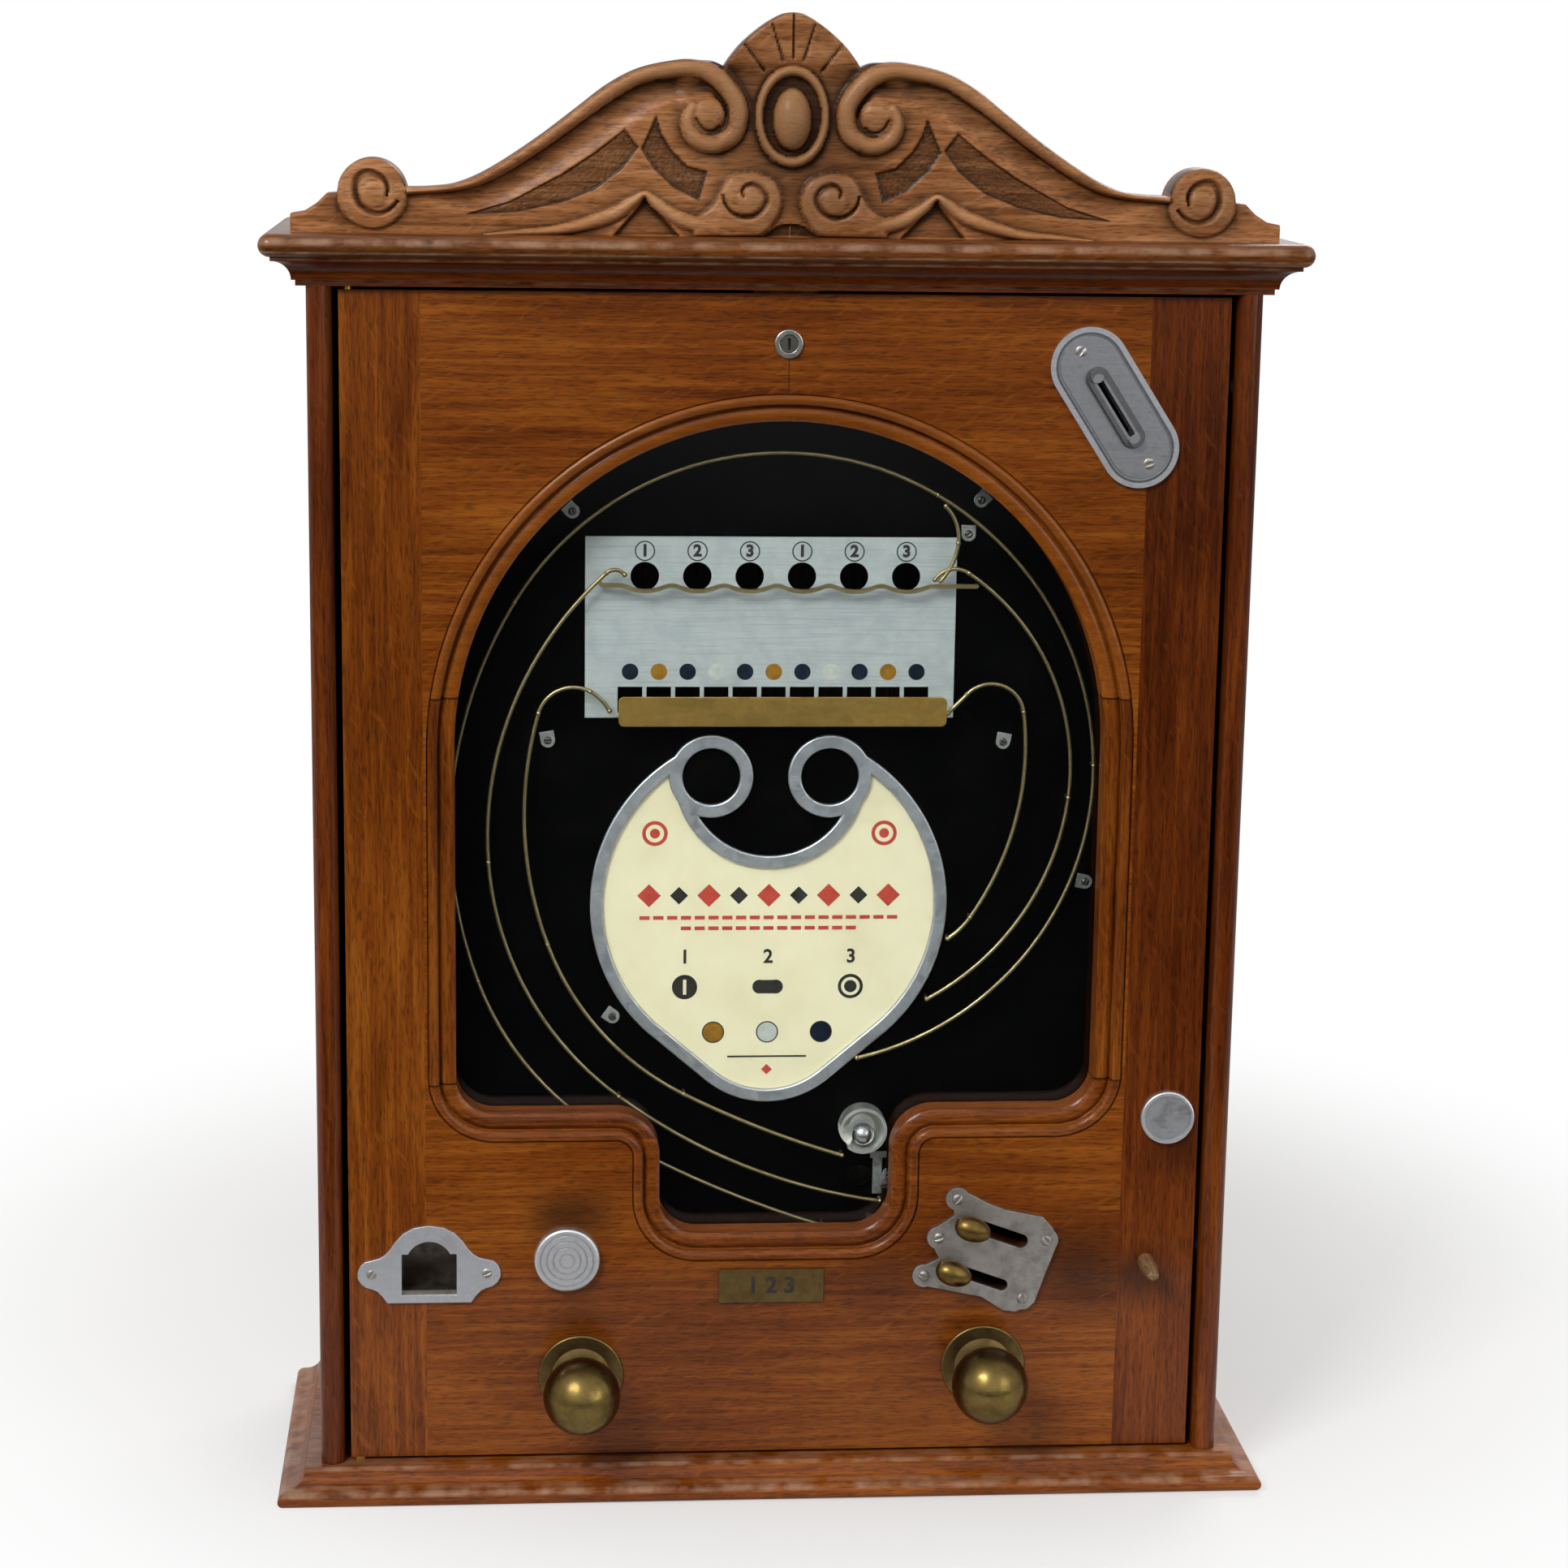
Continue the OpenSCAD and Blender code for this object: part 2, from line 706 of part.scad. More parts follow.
module door_stile_right() {
  color(oak) difference() {
    stile(1);
    rod(disc_r, 6, -e, 14);
    rod(peg_c, peg_d, -e, peg_in);
    coin_hole();
  }
}

// Hole for the coin behind the coin plate
module coin_hole() {
  slab(-e, door_t + e)
    stadium(coin_c - coin_u * coin_d * 0.62, coin_c + coin_u * coin_d * 0.62, chute_gap + 3);
}

module trigger_hole(c) {
  slab(-e, door_t + e) stadium(along(c, -1), along(c, trigger_pull + 1), stem_d + 8);
}

module door_panel() {
  color(oak) difference() {
    slab(0, door_t) rect([-panel_hw, door_z0], [panel_hw, door_z1]);
    slab(-e, door_t + e) window2d(mould_w);
    payout_hole();
    coin_hole();
    rod([0, lock_z], lock_d, -e, door_t + e);
    for (c = [knob_l, knob_r]) rod(c, spindle_d + 2 * run_c, -e, door_t + e);
    for (c = [up_c, low_c]) trigger_hole(c);
    rod(disc_l, 6, -e, 14);
  }
}

// Narrow bead, quirk and broad roll: u runs out from the glass edge, v runs back from the door's face
module mould_profile() {
  bead = 3;
  roll = 6.5;
  outer = [mould_w - bead, -2.6];
  inner = [4.2, -10.2];
  translate(outer) circle(bead);
  intersection() {
    translate(inner) circle(roll);
    rect([0, -door_t], [mould_w, 0]);
  }
  polygon([[0, inner[1]], [0, -door_t], [mould_w, -door_t], [mould_w, outer[1]], outer, inner]);
}

module mould_arc(c, r, a0, a1) {
  translate([c[0], y_door, c[1]]) rotate([90, 0, 0]) rotate(a0)
    rotate_extrude(angle = a1 - a0, $fn = max(48, r)) translate([r, 0]) mould_profile();
}

// The shoulder bends the other way, so its profile is turned round
module mould_shoulder(c, r, a0, a1) {
  translate([c[0], y_door, c[1]]) rotate([90, 0, 0]) rotate(a0)
    rotate_extrude(angle = a1 - a0) translate([r, 0]) mirror([1, 0]) mould_profile();
}

module mould_half() {
  zs = shelf_z + corner_r;
  zt = throat_z + corner_r;
  shoulder = [throat_hw + shoulder_r, shelf_z - shoulder_r];
  mould_arc([0, arch_z], win_hw, 0, 90);
  mould_run([win_hw, arch_z], arch_z - zs, 0);
  mould_arc([win_hw - corner_r, zs], corner_r, -90, 0);
  mould_run([win_hw - corner_r, shelf_z], win_hw - corner_r - shoulder[0], -90);
  mould_shoulder(shoulder, shoulder_r, 90, 180);
  mould_run([throat_hw, shoulder[1]], shoulder[1] - zt, 0);
  mould_arc([throat_hw - corner_r, zt], corner_r, -90, 0);
  mould_run([throat_hw - corner_r, throat_z], throat_hw - corner_r, -90);
}

// A straight run: starts at c with its outer side facing angle a, and goes on to the right of that
module mould_run(c, l, a) {
  translate([c[0], y_door, c[1]]) rotate([90, 0, 0]) rotate(a) rotate([90, 0, 0]) linear_extrude(l)
    mould_profile();
}

module window_moulding() {
  color(oak_dark) {
    mould_half();
    mirror([1, 0, 0]) mould_half();
  }
}

module window_glass() {
  color("#a9c4c8", 0.3) slab(glass_y, glass_y + glass_t) window2d(off_glass - seat_c);
}

// Where the outer track cuts the corner between throat and shelf, out of sight behind the moulding
module corner_way2d(w) {
  translate([6 - throat_hw, throat_z + 31]) rotate(147) translate([0, -40]) square([72, 40 + w / 2]);
}

// Outline of the playfield and of the frame round the ball space
module field2d() {
  window2d(off_frame);
  corner_way2d(44);
}

module playfield_frame() {
  head_room = (plunger_head_d + 1) / 2;
  color(black) difference() {
    slab(glass_y, field_y) field2d();
    slab(glass_y - e, ball_y0) window2d(off_glass);
    slab(ball_y0 - e, field_y + e) {
      window2d(off_ball);
      corner_way2d(20);
    }
    for (c = [up_c, low_c])
      slot_block(c, head_s - 26, post_s - 4, plunger_head_d + 1, track_y - head_room, track_y + head_room);
  }
}

module score_holes2d() {
  for (i = [0 : hole_count - 1])
    translate([hole_x + (i - (hole_count - 1) / 2) * hole_pitch, hole_z]) circle(d = hole_d);
}

module pockets2d() {
  for (i = [0 : pocket_count - 1])
    translate([pocket_x + (i - (pocket_count - 1) / 2) * pocket_pitch - pocket_w / 2, pocket_z0])
      square([pocket_w, pocket_z1 - pocket_z0]);
}

// The board has one long slot behind the score holes and one behind the pockets, and a hole that feeds the ball
module playfield_board() {
  hole_end = [(hole_count - 1) * hole_pitch / 2, 0];
  pocket_end = (pocket_count - 1) * pocket_pitch / 2 + pocket_w / 2;
  color(black) difference() {
    slab(field_y, field_back) field2d();
    slab(field_y - e, field_back + e) {
      stadium([hole_x, hole_z] - hole_end, [hole_x, hole_z] + hole_end, hole_d + 0.5);
      rect([pocket_x - pocket_end, pocket_z0], [pocket_x + pocket_end, pocket_z1]);
      translate([lift_x, feed_z]) circle(d = ball_d + 2);
    }
  }
}

module score_plate() {
  color("#aebcc4") difference() {
    slab(field_y - score_t, field_y) rect([score_x - score_w / 2, score_z0], [score_x + score_w / 2, score_z1]);
    slab(field_y - score_t - e, field_y + e) {
      score_holes2d();
      pockets2d();
      translate(route_at(scallop_route, 0)) circle(d = rail_pin_d + 0.4);
    }
  }
}

bar_y = ball_y0 + 0.8;
bar_t_front = 2;

// Brass bar in front of the pockets, on two posts beside the score plate's pockets
module pocket_bar() {
  color(brass) {
    slab(bar_y, bar_y + bar_t_front) {
      stadium(bar_c - [bar_w / 2 - 3, bar_h / 2 - 3], bar_c + [bar_w / 2 - 3, 3 - bar_h / 2], 6);
      stadium(bar_c - [bar_w / 2 - 3, 3 - bar_h / 2], bar_c + [bar_w / 2 - 3, bar_h / 2 - 3], 6);
      rect(bar_c - [bar_w / 2, bar_h / 2 - 3], bar_c + [bar_w / 2, bar_h / 2 - 3]);
    }
    for (s = [-1, 1]) rod(bar_c + [s * (bar_w / 2 - 2.2), -4.5], 3, bar_y + 1, field_y - score_t);
  }
}

module outer_rail() {
  color(brass) {
    wire(outer_route);
    rail_pins(outer_route, [0 : 5]);
  }
}

module middle_rail_left() {
  color(brass) {
    wire(middle_left_route);
    rail_pins(middle_left_route, [0, 1, 2]);
  }
}

// The hook that turns the ball down at the right is soldered to this rail
module middle_rail_right() {
  color(brass) {
    wire(middle_right_route);
    wire(hook_route);
    rail_pins(middle_right_route, [1, 2, 3]);
  }
}

module inner_rail_left() {
  color(brass) {
    wire(inner_left_route);
    rail_pins(inner_left_route, [0, 1, 2, 3]);
  }
}

module inner_rail_right() {
  color(brass) {
    wire(inner_right_route);
    rail_pins(inner_right_route, [2, 3, 4]);
  }
}

module scallop_rail() {
  color(brass) {
    strip(scallop_route);
    rail_pins(scallop_route, [0, len(scallop_route[2])]);
  }
}

lug_t = 1.5;
card_lug = [card_x, card_z] + (card_r + 8.2) * [cos(216.5), sin(216.5)];
lugs = [[-112, 543, 45], [108.5, 550, -45], [102, 531.5, 0], [-125, 418, 10], [124, 417, -10],
  [card_lug[0], card_lug[1], 55], [172, 338, 80]];

// Lugs beside the rails, each with its screw, and the strip at the throat
module rail_lugs() {
  color(alloy) {
    for (l = lugs) slab(field_y - lug_t, field_y) translate([l[0], l[1]]) rotate(l[2]) {
      circle(d = 8);
      translate([-4, 0]) square([8, 5]);
    }
    slab(field_y - lug_t / 2, field_y) rect([57, 158], [62.5, 179]);
    slab(field_y - lug_t / 2, field_y) rect([55.5, 179], [65, 183]);
  }
}

// Card frame: a large and a small circle make the heart, a hollow and two rings make its top
module heart2d(inset) {
  difference() {
    hull() {
      translate([0, card_z]) circle(card_r - inset, $fn = 128);
      translate([0, card_tip_z]) circle(card_tip_r - inset, $fn = 64);
    }
    translate([0, ring_z + 1]) circle(hollow_r + inset);
    rect([-ring_dx - inset, ring_z - 2], [ring_dx + inset, card_z + card_r]);
  }
}

module rings2d(r) {
  for (s = [-1, 1]) translate([s * ring_dx, ring_z]) circle(r);
}

module card2d(gap) {
  difference() {
    heart2d(band + gap);
    rings2d(ring_r + gap);
  }
}

module card_frame() {
  color(alloy) slab(field_y - card_frame_t, field_y) translate([card_x, 0]) difference() {
    union() {
      heart2d(0);
      rings2d(ring_r);
    }
    card2d(0);
    rings2d(ring_hole_r);
  }
}

module instruction_card() {
  color("#efe6c4") slab(field_y - card_t, field_y) translate([card_x, 0]) card2d(0.1);
}

cup_floor_t = 1.5;
cup_depth = 11.5;
cup_cone = [7, 11.5];

// Cup for the winning ball, open to the lower left
module ball_cup() {
  front = cup_depth - field_y;
  color(steel) difference() {
    turned(cup_c) difference() {
      rect([0, -field_y], [cup_r, front]);
      polygon([[0, cup_floor_t - field_y], [cup_cone[0], cup_floor_t - field_y], [cup_cone[1], front],
        [cup_cone[1], front + e], [0, front + e]]);
    }
    slab(field_y - cup_depth - e, field_y - cup_floor_t) translate(cup_c)
      polygon([[0, 0], 25 * [cos(168), sin(168)], 40 * [cos(198), sin(198)], 25 * [cos(229), sin(229)]]);
  }
}

trough_slope = 13;
trough_x0 = -150;

// Floor height of the ball trough at x, down to the lift well
function trough_floor(x) = lift_z + (lift_x - trough_w / 2 - x) * tan(trough_slope);

// The ball that the lift carries up to the feed hole
module lifted_ball() {
  color(steel) translate([lift_x, y_door + lift_y, lift_z + ball_d / 2 + seat_c]) sphere(d = ball_d);
}

// Balls: one in the cup and the rest waiting in the trough
module steel_balls() {
  cone = atan((cup_cone[1] - cup_cone[0]) / (cup_depth - cup_floor_t));
  back = field_y - cup_floor_t - ball_d / 2 - seat_c;
  wall = cup_cone[0] + (field_y - cup_floor_t - back) * tan(cone);
  drop = wall - (ball_d / 2 + seat_c) / cos(cone);
  color(steel) {
    translate([cup_c[0], y_door + back, cup_c[1] - drop]) sphere(d = ball_d);
    for (i = [0 : 3]) {
      x = lift_x - trough_w / 2 - ball_d - i * (ball_d + seat_c);
      translate([x, y_door + lift_y, trough_floor(x) + (ball_d / 2 + seat_c) / cos(trough_slope)]) sphere(d = ball_d);
    }
  }
}

well_top = feed_z + ball_d / 2 + 6;

// Sloping sheet-metal trough on the playfield's back, with an upright well for the lift at its low end
module ball_trough() {
  x1 = lift_x - trough_w / 2;
  x2 = lift_x + trough_w / 2;
  y1 = trough_y + trough_w;
  h = ball_d + 6;
  color(alloy) difference() {
    slab(field_back, y1 + sheet_t) {
      polygon([[trough_x0, trough_floor(trough_x0) - sheet_t], [x1, lift_z - sheet_t], [x1, lift_z + h],
        [trough_x0, trough_floor(trough_x0) + h]]);
      rect([x1 - sheet_t, lift_z - 14], [x2 + sheet_t, well_top]);
    }
    slab(trough_y, y1) {
      polygon([[trough_x0 + sheet_t, trough_floor(trough_x0 + sheet_t)], [x1, lift_z], [x1, lift_z + h + e],
        [trough_x0 + sheet_t, trough_floor(trough_x0) + h + e]]);
      rect([x1, lift_z - 15], [x2, well_top + e]);
      rect([x1 - sheet_t - e, lift_z], [x1 + e, lift_z + h - 2]);
    }
    slab(field_back - e, trough_y + e) translate([lift_x, feed_z]) circle(d = ball_d + 2);
  }
}

coin_plate_t = 2.4;
coin_rim = 4.2;

// Stadium plate with a groove inside its edge and a raised mouth that has a boss at each end
module coin_plate() {
  half = coin_u * coin_plate_len / 2;
  mouth = coin_u * coin_d * 0.65;
  screw = coin_u * (coin_plate_len / 2 + coin_plate_r * 0.46);
  color(alloy) difference() {
    union() {
      slab(-coin_plate_t, 0) stadium(coin_c - half, coin_c + half, 2 * coin_plate_r);
      slab(-coin_plate_t - 2.4, -e) stadium(coin_c - mouth * 0.9, coin_c + mouth * 0.9, 11);
      for (s = [-1, 1]) rod(coin_c + s * mouth, 7, -coin_plate_t - 4.4, -e);
    }
    slab(-coin_plate_t - e, -coin_plate_t + 0.7) difference() {
      stadium(coin_c - half, coin_c + half, 2 * (coin_plate_r - coin_rim));
      stadium(coin_c - half, coin_c + half, 2 * (coin_plate_r - coin_rim - 1));
    }
    slab(-coin_plate_t - 4, e) stadium(coin_c - mouth * 0.8, coin_c + mouth * 0.8, 3.4);
    for (s = [-1, 1]) rod(coin_c + s * screw, 4, -coin_plate_t - e, e);
  }
}

module chute2d(w, over) {
  top = coin_c - coin_u * (coin_d * 0.62 + over);
  stadium(top, chute_bend, w);
  rect([chute_x - w / 2, chute_end_z - over], [chute_x + w / 2, chute_bend[1]]);
}

// Flat sheet-metal chute that leads the coin from the slot down the right stile, past the lever, to the cash box
module coin_chute() {
  y0 = door_t;
  y1 = door_t + chute_depth;
  color(alloy) difference() {
    slab(y0, y1) chute2d(chute_w, 0);
    slab(y0 + sheet_t, y1 - sheet_t) chute2d(chute_gap, e);
    slab(y0 - e, y0 + sheet_t + e) stadium(coin_c - coin_u * coin_d * 0.55, coin_c + coin_u * coin_d * 0.55, chute_gap);
    slab(lever_y - 2, lever_y + lever_len + 2)
      rect([chute_x - chute_w, lever_c[1] - 14], [chute_x, lever_c[1] + 6]);
  }
}

pay_plate_t = 2;
pay_ear = 31.5;
// right half of the plate's edge, from its top, measured from the middle of the line between its screws
pay_edge = [[0, 27.6], [8, 26.4], [14, 23.2], [18.4, 18.4], [21, 14.4], [23.8, 11.2], [27, 9.1], [30.6, 8.1],
  [34.8, 7.2], [37.6, 4.7], [39, 1.2], [38.9, -2.2], [37.2, -5.4], [34.4, -7.6], [31, -8.6], [28.3, -9.9],
  [25.6, -12.8], [22.8, -16.7]];

module arch2d(hw, z0, zs, z1) {
  rise = z1 - zs;
  r = (hw * hw + rise * rise) / (2 * rise);
  rect([-hw, z0], [hw, zs]);
  intersection() {
    translate([0, z1 - r]) circle(r);
    rect([-hw, zs - e], [hw, z1 + e]);
  }
}

// Arched plate with two screw ears
module payout_plate() {
  color(alloy) difference() {
    slab(-pay_plate_t, 0) translate([pay_c[0], 0]) {
      translate([0, pay_c[1]]) polygon(concat(pay_edge,
        [for (i = [len(pay_edge) - 1 : -1 : 1]) [-pay_edge[i][0], pay_edge[i][1]]]));
    }
    slab(-pay_plate_t - e, e) translate([pay_c[0], 0]) {
      rect([-pay_hw, pay_floor - 0.4], [pay_hw, pay_top - 7.2]);
      arch2d(pay_hw - 3.6, pay_floor, pay_top - 7.2, pay_top);
    }
    for (s = [-1, 1]) rod(pay_c + [s * pay_ear, 0], 4, -pay_plate_t - e, e);
  }
}

// Curved scoop behind the payout plate, with a window in its right wall for the check
module payout_chute() {
  x0 = pay_c[0] - pay_hw;
  x1 = pay_c[0] + pay_hw;
  color(alloy) difference() {
    union() {
      translate([x0, y_door, 0]) rotate([90, 0, 90]) linear_extrude(2 * pay_hw) {
        difference() {
          rect([0, pay_lip], [pay_back + sheet_t, pay_floor + pay_scoop_r]);
          translate([pay_back - pay_scoop_r, pay_floor + pay_scoop_r]) circle(pay_scoop_r);
        }
        rect([pay_back, pay_floor + pay_scoop_r - e], [pay_back + sheet_t, pay_h]);
      }
      for (x = [x0 - sheet_t, x1])
        block([x, y_door + door_t, pay_lip], [x + sheet_t, y_door + pay_back + sheet_t, pay_h]);
    }
    block([x1 - e, y_door + check_y - check_gap / 2 - 1, check_z + lift - 8],
      [x1 + 2 * sheet_t, y_door + check_y + check_gap / 2 + 1, check_z + lift + check_d + 2]);
  }
}

check_x1 = shaft_x1 + 3.2 * check_d / 2;

// Floor height of the check trough at x
function check_floor(x) = check_z + (x - shaft_x1) * tan(check_slope);

// Flat trough for checks standing on edge, with an upright shaft for the lifter at its low end
module check_trough() {
  wall = check_gap / 2 + sheet_t;
  h = check_d + 3;
  color(alloy) difference() {
    slab(check_y - wall, check_y + wall) {
      rect([shaft_x0 - sheet_t, shaft_z0], [shaft_x1 + sheet_t, check_z + lift + check_d + 6]);
      polygon([[shaft_x1, check_z - 2 * sheet_t], [check_x1 + sheet_t, check_floor(check_x1) - 2 * sheet_t],
        [check_x1 + sheet_t, check_floor(check_x1) + h], [shaft_x1, check_z + h]]);
    }
    slab(check_y - check_gap / 2, check_y + check_gap / 2) {
      rect([shaft_x0, shaft_z0 - e], [shaft_x1, check_z + lift + check_d + 6 + e]);
      polygon([[shaft_x1 - e, check_z], [shaft_x1, check_z], [check_x1, check_floor(check_x1)],
        [check_x1, check_floor(check_x1) + h + e], [shaft_x1, check_z + h - 2], [shaft_x1 - e, check_z + h - 2]]);
      rect([shaft_x0 - 2 * sheet_t, check_z + lift - 7], [shaft_x0 + e, check_z + lift + check_d + 1]);
    }
    // tabs that fix the trough to the door are left by this cut
    slab(check_y - wall - e, check_y - check_gap / 2 + e) rect([shaft_x0 + 4, shaft_z0 + 10], [shaft_x1 - 4, check_z + lift]);
  }
  color(alloy) for (p = [[shaft_x0 + 1, check_z + lift + check_d], [check_x1 - 3, check_floor(check_x1) + check_d / 2]])
    rod(p, 5, door_t, check_y - wall);
}

// The check that stands on the lifter
module lifted_check() {
  x = (shaft_x0 + shaft_x1) / 2;
  color(brass) rod([x, lifter_top(x) + (check_d / 2 + seat_c) / cos(check_slope)], check_d, check_y - check_t / 2,
    check_y + check_t / 2);
}

// Turned rose with a stepped, rounded edge
module knob_roses() {
  color(brass) for (c = [knob_l, knob_r]) turned(c) difference() {
    union() {
      rect([0, 0], [rose_d / 2 - 1.5, 2]);
      translate([rose_d / 2 - 1.5, 1]) circle(1);
      intersection() {
        translate([0, -40]) circle(40 + rose_t, $fn = 160);
        rect([0, 0], [rose_d / 2 - 6, rose_t]);
      }
    }
    rect([-e, -e], [spindle_d / 2 + run_c, rose_t + e]);
  }
}

trigger_plate_t = 3;
trigger_screws = [[100.4, 167.5], [90.4, 145.2], [82.7, 123.2], [150.6, 142.9], [137.9, 109.3]];

// Cast plate with a lobe at each screw and a slot for each trigger
module trigger_plate() {
  color(alloy) difference() {
    slab(-trigger_plate_t, 0) {
      polygon([[99, 158], [90, 152], [86, 143], [91, 133], [80, 128], [80, 118], [92, 115.5], [115, 110.5],
        [127, 102.5], [134, 101.5], [144.5, 106.5], [150.5, 124], [157, 142], [154, 150], [148, 156.5],
        [127, 161], [117, 165], [105, 171.5], [96, 172]]);
      for (p = trigger_screws) translate(p) circle(6.5);
    }
    slab(-trigger_plate_t - e, e) {
      stadium(along(up_c, 0), along(up_c, trigger_pull), stem_d + 3);
      stadium(along(low_c, 0), along(low_c, trigger_pull), stem_d + 1.6);
    }
    for (p = trigger_screws) rod(p, 3.6, -trigger_plate_t - e, e);
  }
}

// Posts on the back of the door: two for each plunger, and the pivot of the coin lever
module mechanism_posts() {
  color(alloy) {
    for (c = [up_c, low_c], s = [post_s, end_post_s]) difference() {
      slot_block(c, s, s + post_t, 20, door_t, field_y);
      slot_rod(c, plunger_d + 2 * run_c, s - 1, s + post_t + 1);
    }
    rod(lever_c, lever_post_d, door_t, lever_y - slide_c);
    rod(lever_c, lever_pin_d, lever_y - slide_c - e, lever_y + lever_len + 2);
  }
}

lock_face = 1.5;

module lock_body() {
  color(steel) turned([0, lock_z]) difference() {
    union() {
      rect([0, -door_t - 4], [lock_d / 2, 0]);
      rect([0, 0], [lock_d / 2 + 1, lock_face]);
      rect([0, -door_t - 3], [lock_d / 2 + 3.5, -door_t]);
    }
    rect([-e, -door_t - 5], [plug_d / 2 + run_c, lock_face + e]);
  }
}

// Half section of a blanking disc with a rounded edge, on its stud
module disc2d(r, t, edge) {
  rect([0, 0], [r, t - edge]);
  rect([0, 0], [r - edge, t]);
  translate([r - edge, t - edge]) circle(edge);
  rect([0, -13], [3, e]);
}

// Ringed disc on the panel and dished disc on the right stile, each on a stud in the wood
module blanking_discs() {
  r1 = 18;
  r2 = 15;
  color(alloy) {
    turned(disc_l) difference() {
      disc2d(r1, 5, 1.6);
      for (r = [7 : 3.5 : 14]) rect([r, 4.3], [r + 1, 5 + e]);
    }
    turned(disc_r) difference() {
      disc2d(r2, 3, 1);
      rect([-e, 2.2], [r2 - 2.2, 3 + e]);
    }
  }
}

// Turned peg driven into the right stile
module stile_peg() {
  color(oak_dark) turned(peg_c) {
    rect([0, -peg_in], [peg_d / 2, 12]);
    polygon([[0, 12], [peg_d / 2, 12], [peg_d / 2 - 1.4, 22], [0, 22]]);
    intersection() {
      translate([0, 22]) circle(peg_d / 2 - 1.4);
      rect([0, 21], [peg_d, 30]);
    }
  }
}

module name_plate() {
  size = [58, 19];
  color(brass) {
    slab(-1.2, 0) rect(plate_c - size / 2, plate_c + size / 2);
    for (s = [-1, 1]) rod(plate_c + [s * 25, 0], 2.4, -1.9, -e);
  }
}

// Moving pieces

module lock_barrel() {
  color(steel) difference() {
    rod([0, lock_z], plug_d, -lock_face - 0.3, door_t + 6);
    slab(-lock_face - e, 4) rect([-0.8, lock_z - 3], [0.8, lock_z + 3]);
  }
}

module lock_cam() {
  y = door_t + 6;
  color(steel) slab(y, y + cam_t) stadium([0, lock_z], [cam_len - cam_w / 2, lock_z], cam_w);
}

// Ball knob on a short waisted neck
module knob(c) {
  neck = 7;
  color(brass) turned(c) difference() {
    union() {
      intersection() {
        translate([0, knob_out]) circle(d = knob_d);
        rect([0, 0], [knob_d, knob_out + knob_d]);
      }
      rect([0, rose_t + e], [neck, knob_out]);
      polygon([[0, rose_t + e], [neck + 3, rose_t + e], [neck + 3, rose_t + e + 2], [neck, rose_t + 6], [0, rose_t + 6]]);
    }
    rect([-e, -e], [spindle_d / 2, knob_out - 8]);
  }
}

module left_knob() {
  knob(knob_l);
}

module right_knob() {
  knob(knob_r);
}

// Spindle with a crank arm behind the door; the arm starts below level and its pin drives a slide
module crank(c, y, pin_len) {
  pin = c - crank_r * [cos(crank_a), sin(crank_a)];
  color(steel) {
    rod(c, spindle_d, 8 - knob_out, y + crank_t);
    slab(y, y + crank_t) {
      stadium(c, pin, crank_pin_d + 4);
      translate(c) circle(d = spindle_d + 8);
    }
    rod(pin, crank_pin_d, y + crank_t - e, y + crank_t + pin_len);
  }
}

module left_crank() {
  crank(knob_l, left_crank_y, check_y + lifter_t / 2 + 1 - left_crank_y - crank_t);
}

module right_crank() {
  crank(knob_r, right_crank_y, lift_y + bar_t / 2 + 1 - right_crank_y - crank_t);
}

// Slot that a crank's pin works in: the pin swings sideways by crank_sag as it rises
module pin_slot2d(x, z) {
  stadium([x - crank_sag, z], [x, z], crank_pin_d + 2 * slide_c);
}

function lifter_top(x) = check_z + (x - lifter_x[1]) * tan(check_slope);

// Plate in the shaft of the check trough, with a sloping top and a slotted foot
module check_lifter() {
  z = knob_l[1] - crank_r * sin(crank_a);
  foot = [left_pin_x - 9, left_pin_x + 8];
  color(steel) slab(check_y - lifter_t / 2, check_y + lifter_t / 2) difference() {
    union() {
      polygon([[lifter_x[0], shaft_z0 + 2], [lifter_x[1], shaft_z0 + 2], [lifter_x[1], check_z - slide_c],
        [lifter_x[0], lifter_top(lifter_x[0]) - slide_c]]);
      rect([lifter_x[1] - 14, z], [lifter_x[1] - 1, shaft_z0 + 3]);
      rect([min(foot[0], lifter_x[1] - 14), z - 7], [foot[1], z + 8]);
    }
    pin_slot2d(left_pin_x, z);
  }
}

// Plate that carries the ball seat up the well, with a slotted foot on the right
module ball_lift() {
  z = knob_r[1] - crank_r * sin(crank_a);
  foot = [right_pin_x - 10, right_pin_x + 8];
  arm_z = lift_z - lift - 18;
  color(steel) {
    slab(lift_y - bar_t / 2, lift_y + bar_t / 2) difference() {
      union() {
        rect([foot[0], z - 7], [foot[1], z + 8]);
        rect([right_pin_x - 6, z], [right_pin_x + 6, arm_z]);
        rect([lift_x - 5, arm_z - 10], [right_pin_x + 6, arm_z]);
        rect([lift_x - 5, arm_z - 10], [lift_x + 5, lift_z - 4 + e]);
      }
      pin_slot2d(right_pin_x, z);
    }
    translate([0, y_door, 0])
      block([lift_x - seat_w / 2, lift_y - seat_w / 2, lift_z - 4], [lift_x + seat_w / 2, lift_y + seat_w / 2, lift_z]);
  }
}

// Finger knob, oval along the slot, on a stem that ends at the plunger's collar
module trigger(c) {
  r = 7;
  half = 3.5;
  y = -12;
  color(brass) {
    rod(c, stem_d, y, track_y - 6);
    translate([c[0], y_door + y, c[1]]) rotate([0, 90 + slot_slope, 0]) rotate_extrude() intersection() {
      stadium([0, -half], [0, half], 2 * r);
      rect([0, -2 * r], [2 * r, 2 * r]);
    }
  }
}

module plunger(c) {
  color(steel) {
    slot_rod(c, plunger_head_d, head_s, head_s + head_len);
    slot_rod(c, plunger_d, head_s + head_len - e, rod_end_s);
    slot_block(c, collar_s[0], collar_s[1], 12, track_y - 6, track_y + 6);
  }
}

